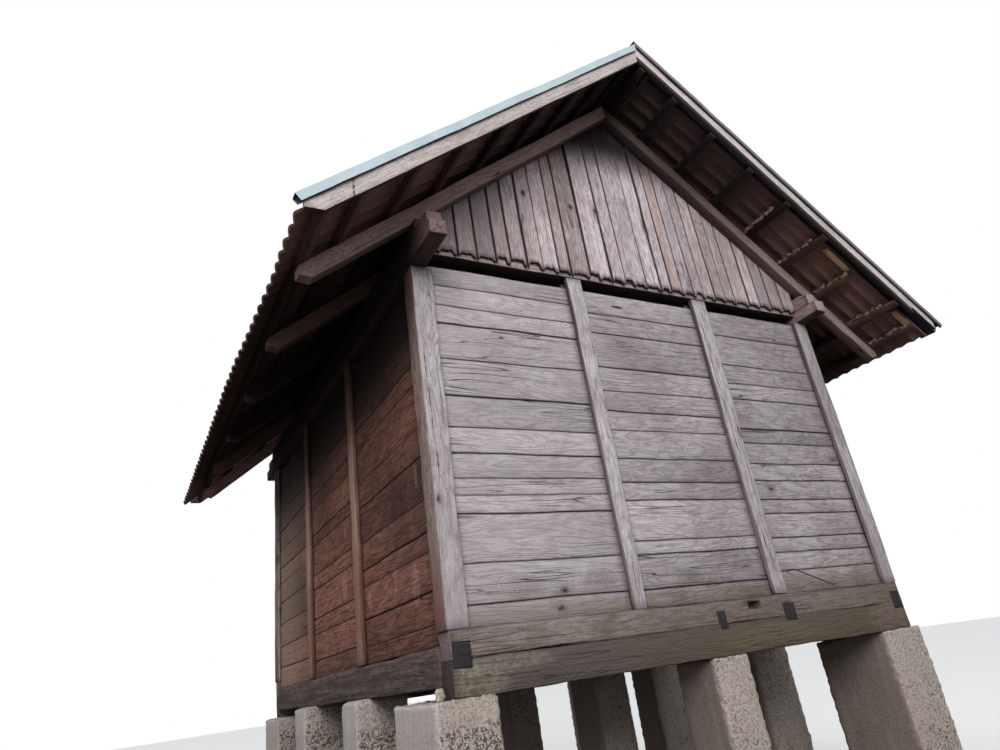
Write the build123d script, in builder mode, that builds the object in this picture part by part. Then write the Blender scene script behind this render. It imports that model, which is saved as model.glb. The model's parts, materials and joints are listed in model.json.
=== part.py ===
from build123d import *
from math import cos, floor, radians, sin, sqrt, tan
import os

os.makedirs("parts", exist_ok=True)

# Overall building. X runs across the gable, Y from the front gable to the back one,
# Z up from the foot of the piers, with the origin under the middle of the house.
house_width = 3100
house_length = 3560
pier_height = 1000
roof_pitch = 38.86

# Double sills, side sills and joists with through tenons
lower_sill_height = 150
upper_sill_height = 116
sill_depth = 115
sill_end_inset = 12
side_sill_height = 166
side_sill_width = 125
side_tenon_width = 89
side_tenon_height = 104
side_tenon_shoulder = 18
joist_centres = (8, 522)
joist_widths = (90, 100)
joist_tenon_widths = (58, 87)
joist_height = 120
joist_tenon_height = 90
sill_top_above_joists = 50
empty_mortise_x = 262
empty_mortise_width = 91
empty_mortise_height = 41
empty_mortise_depth = 60
empty_mortise_below_top = 20

# Floor
floor_thickness = 40

# Posts, studs and plank panels
corner_post_depth = 115
corner_post_foot_width = 106
corner_post_head_width = 122
corner_post_heights = (1809, 1851)
front_stud_offsets = (-501, 498)
front_stud_foot_widths = (78, 97)
front_stud_head_widths = (109, 123)
front_stud_depth = 115
side_stud_width = 110
side_stud_depth = 100
plank_thickness = 38
front_recess = 30
side_recess = 25
tongue = 20
air_slot = 36

# Tie beams and wall plates. Pairs of values are for the left and the right side of the house,
# because the right plate lies higher and the right verge is made up further.
tie_underside_above_sills = 1900
tie_height = 110
tie_depth = 110
plate_width = 96
plate_proud = 10
lower_plate_height = 84
plate_top_above_sills = 2031
plate_overhangs = (303, 190)
upper_plate_overhangs = (256, 145)
upper_plate_worn_depths = (57, 14)
upper_plate_worn_lengths = (150, 50)

# Roof timbers
gable_board_thickness = 20
gable_board_drop = 14
rafter_depth = 89
rafter_thickness = 70
rafter_pairs = 6
rafter_tail = 600
rafter_tail_cut = 53
rafter_tail_step = 44
rafter_tail_nick = 22
seat_bite = 20
batten_thickness = 40
batten_width = 50
batten_gauge = 355
eave_course = 235
eave_batten = 2720
ridge_batten = 60
verge_overhang = 499
barge_thickness = 25
barge_widths = (100, 92)
barge_drops = (5, -14)
barge_ends = (2216, 2256)
left_barge_foot_cut = 86
right_barge_step_at = 2055
right_barge_step = 45

# Roof covering
roll_pitch = 97.5
tile_thickness = 14
tile_roll_height = 24
tile_slope_length = 2860
tile_verge_gaps = (6, 44)
roll_foot_share = 0.1
roll_crest_share = 0.3
ridge_tile_radius = 130
ridge_tile_sink = 100
ridge_tile_thickness = 16
flashing_sheet = 2
flashing_standoff = 14
flashing_lips = (42, 30)
flashing_top_width = 46
flashing_tops = (110, 134)
flashing_lengths = (2807, 2880)
flashing_ridge_gap = 2
apron_width = 104
apron_below_ridge_tiles = 8

# Piers, given as the X of each pier's middle, its width and the depth of its end rows
pier_centres = (-1483.5, -2, 1443)
pier_widths = (291, 258, 377)
end_pier_depths = (500, 292, 500)
middle_pier_depth = 290
pier_chamfer = 14

# Derived levels and places
half_width = house_width / 2
half_length = house_length / 2
front_face = -half_length
sill_bottom = pier_height
sill_split = sill_bottom + lower_sill_height
sill_top = sill_split + upper_sill_height
joist_top = sill_top - sill_top_above_joists
side_sill_bottom = joist_top - side_sill_height
tie_underside = sill_top + tie_underside_above_sills
plate_undersides = [sill_top + height for height in corner_post_heights]
plate_splits = [underside + lower_plate_height for underside in plate_undersides]
plate_top = sill_top + plate_top_above_sills
plate_inner = half_width + plate_proud - plate_width
front_panel_top = tie_underside - air_slot
side_panel_tops = [underside - air_slot for underside in plate_undersides]
stud_pitch = (house_length - corner_post_depth) / 3
side_stud_y = stud_pitch / 2
pitch = radians(roof_pitch)
rafter_under_apex = plate_top - seat_bite + half_width * tan(pitch)
roof_apex = rafter_under_apex + rafter_depth / cos(pitch)
board_face = front_face - gable_board_thickness
gable_board_bottom = tie_underside + gable_board_drop
verge_face = front_face - verge_overhang

# Cross-sections of the right slope: sketch X is the building's Y, sketch Y stands off the rafters
slope_section = Plane(
    origin=(0, 0, roof_apex), x_dir=(0, 1, 0), z_dir=(cos(pitch), 0, -sin(pitch))
)


def save(piece, name):
    """Label one finished piece and write its file."""
    piece.part.label = name
    export_step(piece.part, f"parts/{name}.step")


def box(x0, x1, y0, y1, z0, z1, mode=Mode.ADD):
    """Squared timber between two corners, in the part being built."""
    with Locations(((x0 + x1) / 2, (y0 + y1) / 2, (z0 + z1) / 2)):
        Box(abs(x1 - x0), abs(y1 - y0), abs(z1 - z0), mode=mode)


def mirrored(piece, plane):
    """A second piece, handed about a middle plane."""
    with BuildPart() as twin:
        add(mirror(piece.part, about=plane))
    return twin


def pier_row(starts, depths, tops):
    """Three concrete piers in a row, each from its nearer face back, up to what it carries."""
    with BuildPart() as row:
        for centre, width, y0, depth, top in zip(pier_centres, pier_widths, starts, depths, tops):
            box(centre - width / 2, centre + width / 2, y0, y0 + depth, 0, top)
        chamfer(row.edges().filter_by(Axis.Z), pier_chamfer)
    return row


def tenon_cuts(z0, z1):
    """Notches through a gable sill for the side sills' and joists' tenons."""
    tenon_outer = half_width - side_tenon_shoulder
    for side in (-1, 1):
        box(side * tenon_outer, side * (tenon_outer - side_tenon_width), front_face,
            front_face + sill_depth, max(z0, joist_top - side_tenon_height), min(z1, joist_top),
            mode=Mode.SUBTRACT)
    for centre, width in zip(joist_centres, joist_tenon_widths):
        box(centre - width / 2, centre + width / 2, front_face, front_face + sill_depth,
            max(z0, joist_top - joist_tenon_height), min(z1, joist_top), mode=Mode.SUBTRACT)


# Piers
joist_bottom = joist_top - joist_height
front_piers = pier_row((front_face,) * 3, end_pier_depths, (sill_bottom,) * 3)
second_start = -side_stud_y - middle_pier_depth / 2
second_piers = pier_row((second_start,) * 3, (middle_pier_depth,) * 3,
                        (side_sill_bottom, joist_bottom, side_sill_bottom))
third_piers = mirrored(second_piers, Plane.XZ)
back_piers = mirrored(front_piers, Plane.XZ)
save(front_piers, "front_piers")
save(second_piers, "second_row_piers")
save(third_piers, "third_row_piers")
save(back_piers, "back_piers")

# Gable sills, one on the other, with the tenons trapped between them
sill_end = half_width - sill_end_inset
with BuildPart() as front_lower_sill:
    box(-sill_end, sill_end, front_face, front_face + sill_depth, sill_bottom, sill_split)
    tenon_cuts(sill_bottom, sill_split)
save(front_lower_sill, "front_lower_sill")
save(mirrored(front_lower_sill, Plane.XZ), "back_lower_sill")

with BuildPart() as front_upper_sill:
    box(-sill_end, sill_end, front_face, front_face + sill_depth, sill_split, sill_top)
    tenon_cuts(sill_split, sill_top)
save(mirrored(front_upper_sill, Plane.XZ), "back_upper_sill")
with front_upper_sill:
    mortise_top = sill_top - empty_mortise_below_top
    box(empty_mortise_x - empty_mortise_width / 2, empty_mortise_x + empty_mortise_width / 2,
        front_face, front_face + empty_mortise_depth, mortise_top - empty_mortise_height,
        mortise_top, mode=Mode.SUBTRACT)
save(front_upper_sill, "front_upper_sill")

# Side sills run between the gable sills and end in through tenons
with BuildPart() as left_side_sill:
    inner = half_length - sill_depth
    box(-half_width, -half_width + side_sill_width, -inner, inner, side_sill_bottom, joist_top)
    tenon_x = -half_width + side_tenon_shoulder
    box(tenon_x, tenon_x + side_tenon_width, -half_length, half_length,
        joist_top - side_tenon_height, joist_top)
save(left_side_sill, "left_side_sill")
save(mirrored(left_side_sill, Plane.YZ), "right_side_sill")

with BuildPart() as floor_joists:
    for centre, width, tenon in zip(joist_centres, joist_widths, joist_tenon_widths):
        box(centre - width / 2, centre + width / 2, -inner, inner, joist_bottom, joist_top)
        box(centre - tenon / 2, centre + tenon / 2, -half_length, half_length,
            joist_top - joist_tenon_height, joist_top)
save(floor_joists, "floor_joists")

with BuildPart() as floor_boards:
    edge = half_width - side_recess - plank_thickness
    box(-edge, edge, -inner, inner, joist_top, joist_top + floor_thickness)
    for x in (-1, 1):
        for y in (-1, 1):
            box(x * half_width, x * (half_width - side_stud_depth), y * side_stud_y - side_stud_width / 2,
                y * side_stud_y + side_stud_width / 2, joist_top, sill_top, mode=Mode.SUBTRACT)
save(floor_boards, "floor_boards")


def corner_post(top):
    """Front left post, tapered on its inner face and grooved for the plank ends of both walls."""
    with BuildPart() as post:
        with BuildSketch(Plane.XZ.offset(half_length)):
            with BuildLine():
                Polyline((-half_width, sill_top), (-half_width + corner_post_foot_width, sill_top),
                         (-half_width + corner_post_head_width, top), (-half_width, top), close=True)
            make_face()
        extrude(amount=-corner_post_depth)
        box(-plate_inner, -half_width + 2 * corner_post_head_width, front_face + front_recess,
            front_face + front_recess + plank_thickness, sill_top, top, mode=Mode.SUBTRACT)
        box(-half_width + side_recess, -half_width + side_recess + plank_thickness,
            front_face + corner_post_depth - tongue, front_face + corner_post_depth, sill_top, top,
            mode=Mode.SUBTRACT)
    return post


# Corner posts
front_left_post = corner_post(plate_undersides[0])
save(front_left_post, "front_left_post")
front_right_post = mirrored(corner_post(plate_undersides[1]), Plane.YZ)
save(front_right_post, "front_right_post")
save(mirrored(front_left_post, Plane.XZ), "back_left_post")
save(mirrored(front_right_post, Plane.XZ), "back_right_post")

# Gable studs taper towards the foot and are grooved on both edges
with BuildPart() as front_studs:
    for middle, foot, head in zip(front_stud_offsets, front_stud_foot_widths, front_stud_head_widths):
        with BuildSketch(Plane.XZ.offset(half_length)):
            with BuildLine():
                Polyline((middle - foot / 2, sill_top), (middle + foot / 2, sill_top),
                         (middle + head / 2, tie_underside), (middle - head / 2, tie_underside),
                         close=True)
            make_face()
        extrude(amount=-front_stud_depth)
        for side in (-1, 1):
            box(middle + side * (foot / 2 - tongue), middle + side * head, front_face + front_recess,
                front_face + front_recess + plank_thickness, sill_top, tie_underside,
                mode=Mode.SUBTRACT)
save(front_studs, "front_studs")
save(mirrored(front_studs, Plane.XZ), "back_studs")


def side_studs(top):
    """Both studs of the left wall, grooved on both edges."""
    with BuildPart() as studs:
        for side in (-1, 1):
            middle = side * side_stud_y
            box(-half_width, -half_width + side_stud_depth, middle - side_stud_width / 2,
                middle + side_stud_width / 2, joist_top, top)
            for edge_side in (-1, 1):
                rim = middle + edge_side * side_stud_width / 2
                box(-half_width + side_recess, -half_width + side_recess + plank_thickness,
                    rim, rim - edge_side * tongue, joist_top, top, mode=Mode.SUBTRACT)
    return studs


save(side_studs(plate_undersides[0]), "left_studs")
save(mirrored(side_studs(plate_undersides[1]), Plane.YZ), "right_studs")

# Plank panels, one for each bay, slid into the grooves
front_panel_edges = [-plate_inner]
for middle, foot in zip(front_stud_offsets, front_stud_foot_widths):
    front_panel_edges += [middle - foot / 2 + tongue, middle + foot / 2 - tongue]
front_panel_edges.append(plate_inner)
with BuildPart() as front_wall:
    for x0, x1 in zip(front_panel_edges[::2], front_panel_edges[1::2]):
        box(x0, x1, front_face + front_recess, front_face + front_recess + plank_thickness,
            sill_top, front_panel_top)
save(front_wall, "front_wall")
save(mirrored(front_wall, Plane.XZ), "back_wall")


def side_wall(top):
    """Plank panels of the left wall's three bays."""
    x0 = -half_width + side_recess
    x1 = x0 + plank_thickness
    middle_edge = side_stud_y - side_stud_width / 2 + tongue
    near = side_stud_y + side_stud_width / 2 - tongue
    with BuildPart() as wall:
        box(x0, x1, -middle_edge, middle_edge, joist_top, top)
        for side in (-1, 1):
            box(x0, x1, side * near, side * inner, joist_top, top)
            box(x0, x1, side * inner, side * (inner + tongue), sill_top, top)
    return wall


save(side_wall(side_panel_tops[0]), "left_wall")
save(mirrored(side_wall(side_panel_tops[1]), Plane.YZ), "right_wall")


def wall_plate(outer, overhang, low, high, worn=0, worn_length=0):
    """One plate of the left wall, run out under both verges, with the top of its ends worn off."""
    end = half_length + overhang
    with BuildPart() as plate:
        box(-outer, -plate_inner, -end, end, low, high)
        for side in (-1, 1):
            if worn:
                box(-outer, -plate_inner, side * end, side * (end - worn_length), high - worn, high,
                    mode=Mode.SUBTRACT)
    return plate


# Wall plates: the lower one runs out further, the upper one carries the rafters
plate_outer = half_width + plate_proud
left_lower_plate = wall_plate(plate_outer, plate_overhangs[0], plate_undersides[0], plate_splits[0])
right_lower_plate = wall_plate(plate_outer, plate_overhangs[1], plate_undersides[1], plate_splits[1])
left_upper_plate = wall_plate(half_width, upper_plate_overhangs[0], plate_splits[0], plate_top,
                              upper_plate_worn_depths[0], upper_plate_worn_lengths[0])
right_upper_plate = wall_plate(half_width, upper_plate_overhangs[1], plate_splits[1], plate_top,
                               upper_plate_worn_depths[1], upper_plate_worn_lengths[1])
save(left_lower_plate, "left_lower_plate")
save(mirrored(right_lower_plate, Plane.YZ), "right_lower_plate")
save(left_upper_plate, "left_upper_plate")
save(mirrored(right_upper_plate, Plane.YZ), "right_upper_plate")

with BuildPart() as front_tie_beam:
    box(-plate_inner, plate_inner, front_face, front_face + tie_depth, tie_underside,
        tie_underside + tie_height)
save(front_tie_beam, "front_tie_beam")
save(mirrored(front_tie_beam, Plane.XZ), "back_tie_beam")

# Gable boarding, behind the end rafters
with BuildPart() as front_gable:
    with BuildSketch(Plane.XZ.offset(-board_face)):
        with BuildLine():
            board_side_top = roof_apex - plate_inner * tan(pitch)
            Polyline((-plate_inner, gable_board_bottom), (plate_inner, gable_board_bottom),
                     (plate_inner, board_side_top), (0, roof_apex), (-plate_inner, board_side_top),
                     close=True)
        make_face()
    extrude(amount=-gable_board_thickness)
save(front_gable, "front_gable")
save(mirrored(front_gable, Plane.XZ), "back_gable")

# Rafters: birdsmouth over the plate, tail cut plumb with a small step below
tail_x = half_width + rafter_tail
rafter_run = half_length + gable_board_thickness + rafter_thickness / 2
rafter_spacing = 2 * rafter_run / (rafter_pairs - 1)
with BuildPart() as right_rafters:
    for index in range(rafter_pairs):
        y = -rafter_run + index * rafter_spacing
        with BuildSketch(Plane.XZ.offset(-y + rafter_thickness / 2)):
            with BuildLine():
                tail_top = roof_apex - tail_x * tan(pitch)
                step_x = tail_x - rafter_tail_step
                step_z = rafter_under_apex - (step_x - rafter_tail_nick) * tan(pitch)
                notch_z = tail_top - rafter_tail_cut
                Polyline((0, roof_apex), (tail_x, tail_top), (tail_x, notch_z), (step_x, notch_z),
                         (step_x - rafter_tail_nick, step_z), (half_width, plate_top - seat_bite),
                         (half_width, plate_top),
                         (half_width - seat_bite / tan(pitch), plate_top),
                         (0, rafter_under_apex), close=True)
            make_face()
        extrude(amount=-rafter_thickness)
save(right_rafters, "right_rafters")
save(mirrored(right_rafters, Plane.YZ), "left_rafters")

# Battens
verge_inner = half_length + verge_overhang - barge_thickness
batten_places = [ridge_batten, eave_batten]
course_count = floor((eave_batten - eave_course - ridge_batten) / batten_gauge)
for course in range(course_count + 1):
    batten_places.append(eave_batten - eave_course - course * batten_gauge)
with BuildPart() as right_battens:
    for place in batten_places:
        with BuildSketch(slope_section.offset(place - batten_width / 2)):
            with Locations((0, batten_thickness / 2)):
                Rectangle(2 * verge_inner, batten_thickness)
        extrude(amount=batten_width)
save(right_battens, "right_battens")
save(mirrored(right_battens, Plane.YZ), "left_battens")



def roof_tiles(verge_gap):
    """The right slope's tiles as one ribbed sheet, with two rolls a tile."""
    tile_half = verge_inner - verge_gap
    roll_count = 2 * round(tile_half / roll_pitch)
    roll = 2 * tile_half / roll_count
    valley = tile_low + tile_thickness
    crest = valley + tile_roll_height
    top_points = []
    for index in range(roll_count):
        start = -tile_half + index * roll
        top_points += [(start + roll_foot_share * roll, valley),
                       (start + roll_crest_share * roll, crest),
                       (start + (1 - roll_crest_share) * roll, crest),
                       (start + (1 - roll_foot_share) * roll, valley)]
    low_points = [(x, z - tile_thickness) for x, z in reversed(top_points)]
    with BuildPart() as tiles:
        with BuildSketch(slope_section):
            with BuildLine():
                Polyline(*top_points, *low_points, close=True)
            make_face()
        extrude(amount=tile_slope_length)
    return tiles


# Tiles. On the right slope they stop short of the verge
tile_low = batten_thickness
crest_height = tile_low + tile_thickness + tile_roll_height
save(mirrored(roof_tiles(tile_verge_gaps[0]), Plane.YZ), "left_tiles")
save(roof_tiles(tile_verge_gaps[1]), "right_tiles")

# Ridge tiles ride on the crests of both slopes, between the two verge flashings
crest_apex = roof_apex + crest_height / cos(pitch)
ridge_chord = sqrt(ridge_tile_radius ** 2 - (ridge_tile_sink * cos(pitch)) ** 2)
ridge_tile_foot = ridge_chord + ridge_tile_sink * sin(pitch) - crest_height * tan(pitch)
lip_y = verge_face - flashing_standoff - flashing_sheet
with BuildPart() as ridge_tiles:
    ridge_half = -lip_y - flashing_top_width
    with BuildSketch(Plane.XZ.offset(ridge_half)):
        with Locations((0, crest_apex - ridge_tile_sink)):
            Circle(ridge_tile_radius)
            Circle(ridge_tile_radius - ridge_tile_thickness, mode=Mode.SUBTRACT)
        with BuildLine():
            reach = 2 * ridge_tile_radius
            Polyline((0, crest_apex), (reach, crest_apex - reach * tan(pitch)),
                     (0, crest_apex - 2 * reach), (-reach, crest_apex - reach * tan(pitch)),
                     close=True)
        make_face(mode=Mode.SUBTRACT)
    extrude(amount=-2 * ridge_half)
save(ridge_tiles, "ridge_tiles")

# Barge boards meet at the ridge. The left one is cut plumb and level at its foot, the right one
# steps up to half its width
with BuildPart() as front_left_barge:
    with BuildSketch(Plane.XZ.offset(-verge_face)):
        with BuildLine():
            low_apex = roof_apex - barge_drops[0] / cos(pitch)
            high_apex = low_apex + barge_widths[0] / cos(pitch)
            end_x = barge_ends[0]
            foot_x = end_x - left_barge_foot_cut
            foot_z = low_apex - foot_x * tan(pitch)
            Polyline((0, low_apex), (-foot_x, foot_z), (-end_x, foot_z),
                     (-end_x, high_apex - end_x * tan(pitch)), (0, high_apex), close=True)
        make_face()
    extrude(amount=-barge_thickness)
with BuildPart() as front_right_barge:
    with BuildSketch(Plane.XZ.offset(-verge_face)):
        with BuildLine():
            low_apex = roof_apex - barge_drops[1] / cos(pitch)
            high_apex = low_apex + barge_widths[1] / cos(pitch)
            step_apex = low_apex + right_barge_step / cos(pitch)
            end_x = barge_ends[1]
            step_x = right_barge_step_at
            Polyline((0, low_apex), (step_x, low_apex - step_x * tan(pitch)),
                     (step_x, step_apex - step_x * tan(pitch)), (end_x, step_apex - end_x * tan(pitch)),
                     (end_x, high_apex - end_x * tan(pitch)), (0, high_apex), close=True)
        make_face()
    extrude(amount=-barge_thickness)
save(front_left_barge, "front_left_barge_board")
save(front_right_barge, "front_right_barge_board")
save(mirrored(front_left_barge, Plane.XZ), "back_left_barge_board")
save(mirrored(front_right_barge, Plane.XZ), "back_right_barge_board")


def verge_cap(top, lip, length):
    """Folded sheet over the right slope's front barge board, its lip in front of the board."""
    back_y = lip_y + flashing_top_width
    low = top - lip
    with BuildPart() as cap:
        with BuildSketch(slope_section.offset(-top)):
            with BuildLine():
                Polyline((verge_face, low), (lip_y, low), (lip_y, top), (back_y, top),
                         (back_y, crest_height), (back_y - flashing_sheet, crest_height),
                         (back_y - flashing_sheet, top - flashing_sheet),
                         (lip_y + flashing_sheet, top - flashing_sheet),
                         (lip_y + flashing_sheet, low + flashing_sheet),
                         (verge_face, low + flashing_sheet), close=True)
            make_face()
        extrude(amount=top + length)
        split(bisect_by=Plane.YZ.offset(flashing_ridge_gap / 2), keep=Keep.TOP)
    return cap


# Verge flashings. The right one has an apron that lies on the tiles and covers their gap
left_cap = mirrored(verge_cap(flashing_tops[0], flashing_lips[0], flashing_lengths[0]), Plane.YZ)
right_cap = verge_cap(flashing_tops[1], flashing_lips[1], flashing_lengths[1])
with BuildPart() as apron:
    apron_start = lip_y + flashing_top_width
    apron_top_end = ridge_tile_foot + apron_below_ridge_tiles
    with BuildSketch(slope_section.offset(apron_top_end)):
        with Locations((apron_start + apron_width / 2, crest_height + flashing_sheet / 2)):
            Rectangle(apron_width, flashing_sheet)
    extrude(amount=flashing_lengths[1] - apron_top_end)
with BuildPart() as front_flashing:
    add(left_cap.part)
    add(right_cap.part)
    add(apron.part)
save(front_flashing, "front_flashing")
save(mirrored(front_flashing, Plane.XZ), "back_flashing")
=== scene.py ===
import json
import math
import random

import bmesh
import bpy
from mathutils import Matrix, Vector


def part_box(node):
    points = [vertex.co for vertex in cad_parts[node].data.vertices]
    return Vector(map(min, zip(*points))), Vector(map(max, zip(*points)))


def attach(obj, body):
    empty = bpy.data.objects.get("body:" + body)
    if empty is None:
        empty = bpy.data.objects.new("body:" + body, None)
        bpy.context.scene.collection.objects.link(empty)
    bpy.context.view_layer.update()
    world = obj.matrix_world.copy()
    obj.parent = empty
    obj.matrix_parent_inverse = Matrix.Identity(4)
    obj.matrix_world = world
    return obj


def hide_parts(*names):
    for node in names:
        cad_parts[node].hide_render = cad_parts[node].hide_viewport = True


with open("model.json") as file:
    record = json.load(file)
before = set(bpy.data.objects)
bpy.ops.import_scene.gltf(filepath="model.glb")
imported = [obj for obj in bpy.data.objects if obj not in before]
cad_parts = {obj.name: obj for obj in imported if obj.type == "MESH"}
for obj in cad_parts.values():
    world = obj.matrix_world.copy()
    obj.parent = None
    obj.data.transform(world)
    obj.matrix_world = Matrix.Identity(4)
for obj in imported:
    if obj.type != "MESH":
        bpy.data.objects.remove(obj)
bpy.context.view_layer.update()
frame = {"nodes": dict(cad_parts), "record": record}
bpy.ops.object.select_all(action="DESELECT")
print("frame loaded,", len(frame["nodes"]), "nodes")

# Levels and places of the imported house, in metres
wallLow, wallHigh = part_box("front_wall")
sideWallLow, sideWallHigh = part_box("left_wall")
gableLow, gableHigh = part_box("front_gable")
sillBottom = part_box("front_lower_sill")[0].z
postInner = -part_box("front_left_post")[1].y
roofPitch = math.radians(38.86)
slopeAlong = Vector((math.cos(roofPitch), 0, -math.sin(roofPitch)))
slopeUp = Vector((math.sin(roofPitch), 0, math.cos(roofPitch)))


# Small tools for picking and shaping

def pickOnly(piece):
    bpy.ops.object.select_all(action="DESELECT")
    piece.select_set(True)
    bpy.context.view_layer.objects.active = piece


def openPiece(piece, mode="EDGE"):
    pickOnly(piece)
    bpy.ops.object.mode_set(mode="EDIT")
    bpy.ops.mesh.select_mode(type=mode)
    bpy.ops.mesh.select_all(action="DESELECT")


def closePiece():
    bpy.ops.object.mode_set(mode="OBJECT")


def selectEdges(piece, test):
    mesh = bmesh.from_edit_mesh(piece.data)
    for edge in mesh.edges:
        if test(edge):
            edge.select_set(True)
    bmesh.update_edit_mesh(piece.data)


def selectVerts(piece, test):
    mesh = bmesh.from_edit_mesh(piece.data)
    for vertex in mesh.verts:
        if test(vertex.co):
            vertex.select_set(True)
    mesh.select_flush(True)
    bmesh.update_edit_mesh(piece.data)


def runsAlong(axis):
    # a test for edges that run along X, Y or Z (0, 1, 2)
    def test(edge):
        way = edge.verts[1].co - edge.verts[0].co
        return abs(way[axis]) > 0.98 * way.length
    return test


def applyTurn(location=False, rotation=False, scale=False):
    bpy.ops.object.transform_apply(location=location, rotation=rotation, scale=scale)


def placePiece(piece, matrix):
    piece.matrix_world = matrix
    pickOnly(piece)
    applyTurn(True, True, True)


def joinPieces(pieces, name):
    bpy.ops.object.select_all(action="DESELECT")
    for piece in pieces:
        piece.select_set(True)
    bpy.context.view_layer.objects.active = pieces[0]
    if len(pieces) > 1:
        bpy.ops.object.join()
    joined = bpy.context.view_layer.objects.active
    joined.name = name
    joined.data.name = name
    return joined


def applyModifier(piece, kind, **settings):
    pickOnly(piece)
    modifier = piece.modifiers.new(kind.lower(), kind)
    for key, value in settings.items():
        setattr(modifier, key, value)
    bpy.ops.object.modifier_apply(modifier=modifier.name)


def repeatPiece(piece, count, step):
    applyModifier(piece, "ARRAY", count=count, use_relative_offset=False, use_constant_offset=True,
                  constant_offset_displace=step)


def roughen(piece, size, strength, stretch=(1, 1, 1), group="", shift=0.0):
    # soft uneven noise, as of hewn, warped or cast surfaces
    texture = bpy.data.textures.new("unevenness", "CLOUDS")
    texture.noise_scale = size
    texture.cloud_type = "COLOR"
    texture.noise_depth = 2
    bpy.ops.object.empty_add(location=(shift, 3 * shift, 7 * shift))
    guide = bpy.context.object
    guide.scale = stretch
    bpy.context.view_layer.update()
    applyModifier(piece, "DISPLACE", texture=texture, strength=strength, mid_level=0.5,
                  direction="RGB_TO_XYZ", texture_coords="OBJECT", texture_coords_object=guide,
                  vertex_group=group)
    bpy.data.objects.remove(guide)
    bpy.data.textures.remove(texture)


def roughenBy(piece, layers, draw):
    # each layer: size, strength, and how it is stretched and in which vertex group it works
    for size, strength, *more in layers:
        roughen(piece, size, strength, *more, shift=draw.uniform(1, 9))


def finishPiece(piece, material, slot, *nodes, smooth=35):
    piece.data.materials.clear()
    piece.data.materials.append(material)
    pickOnly(piece)
    bpy.ops.object.shade_smooth_by_angle(angle=math.radians(smooth))
    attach(piece, "root")
    if nodes:
        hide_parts(*nodes)


# Camera, at the place that the photograph was taken from

cameraSettings = {
    "place": (-2.777, -4.558, 1.063),
    "heading": 30.98,       # degrees to the right of straight at the gable
    "tilt": 23.57,
    "roll": -8.47,
    "lens": 24.59,
}


def placeCamera(settings):
    bpy.ops.object.camera_add(location=settings["place"])
    camera = bpy.context.object
    camera.name = "photoCamera"
    camera.data.lens = settings["lens"]
    turn = Matrix.Rotation(-math.radians(settings["heading"]), 4, "Z")
    lift = Matrix.Rotation(math.radians(90 + settings["tilt"]), 4, "X")
    roll = Matrix.Rotation(math.radians(settings["roll"]), 4, "Z")
    camera.matrix_world = Matrix.Translation(settings["place"]) @ turn @ lift @ roll
    bpy.context.scene.camera = camera


# Shader nodes. Tones are given as screen values from 0 to 255

def screenTone(red, green, blue):
    def linear(value):
        share = value / 255
        return share / 12.92 if share <= 0.04045 else ((share + 0.055) / 1.055) ** 2.4
    return (linear(red), linear(green), linear(blue), 1)


class Shading:
    # makes the nodes of one tree and gives back their outputs
    def __init__(self, tree):
        self.tree = tree

    def node(self, kind, inputs=None, **settings):
        made = self.tree.nodes.new("ShaderNode" + kind)
        for key, value in settings.items():
            setattr(made, key, value)
        for key, value in (inputs or {}).items():
            if isinstance(value, bpy.types.NodeSocket):
                self.tree.links.new(value, made.inputs[key])
            else:
                made.inputs[key].default_value = value
        return made

    def maths(self, operation, first, second=0.0, third=0.0, clamp=False):
        return self.node("Math", {0: first, 1: second, 2: third}, operation=operation,
                         use_clamp=clamp).outputs[0]

    def product(self, first, *others):
        for other in others:
            first = self.maths("MULTIPLY", first, other)
        return first

    def weighed(self, *terms):
        # the sum of values, each times its weight
        total = 0.0
        for value, weight in terms:
            total = self.maths("MULTIPLY_ADD", value, weight, total)
        return total

    def apart(self, value, middle=0.0):
        return self.maths("ABSOLUTE", self.maths("SUBTRACT", value, middle))

    def ramp(self, value, low, high, toLow=0.0, toHigh=1.0, kind="SMOOTHSTEP"):
        return self.node("MapRange", {"Value": value, "From Min": low, "From Max": high, "To Min": toLow,
                                      "To Max": toHigh}, interpolation_type=kind).outputs[0]

    def mix(self, share, first, second, blend="MIX"):
        return self.node("Mix", {0: share, 6: first, 7: second}, data_type="RGBA",
                         blend_type=blend).outputs[2]

    def tint(self, colour, tone, *shares):
        # lays a tone over a colour, by the product of the shares
        return self.mix(self.product(*shares), colour, screenTone(*tone))

    def vector(self, operation, first, second):
        return self.node("VectorMath", {0: first, 1: second}, operation=operation).outputs[0]

    def noise(self, vector, scale=1.0, detail=2.0, rough=0.5, warp=0.0, stretch=None):
        if stretch:
            vector = self.vector("MULTIPLY", vector, stretch)
        return self.node("TexNoise", {"Vector": vector, "Scale": scale, "Detail": detail,
                                      "Roughness": rough, "Distortion": warp}).outputs[0]

    def split(self, vector):
        return list(self.node("SeparateXYZ", {0: vector}).outputs)

    def three(self, value):
        return self.node("CombineXYZ", {0: value, 1: value, 2: value}).outputs[0]

    def facing(self):
        return self.split(self.node("NewGeometry").outputs["Normal"])

    def attribute(self, name):
        return self.node("Attribute", attribute_name=name).outputs["Vector"]

    def spot(self, vector, centre, reach, core):
        # reach is 0 along an axis that doesn't count
        spread = tuple(1 / value if value else 0.0 for value in reach)
        return self.node("Group", {"Vector": vector, "Centre": centre, "Core": core, "Spread": spread},
                         node_tree=spotGroup).outputs

    def send(self, values, inputs):
        for label, value in values.items():
            if isinstance(value, bpy.types.NodeSocket):
                self.tree.links.new(value, inputs[label])
            else:
                inputs[label].default_value = value


# Floor, sky and lamps

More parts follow.
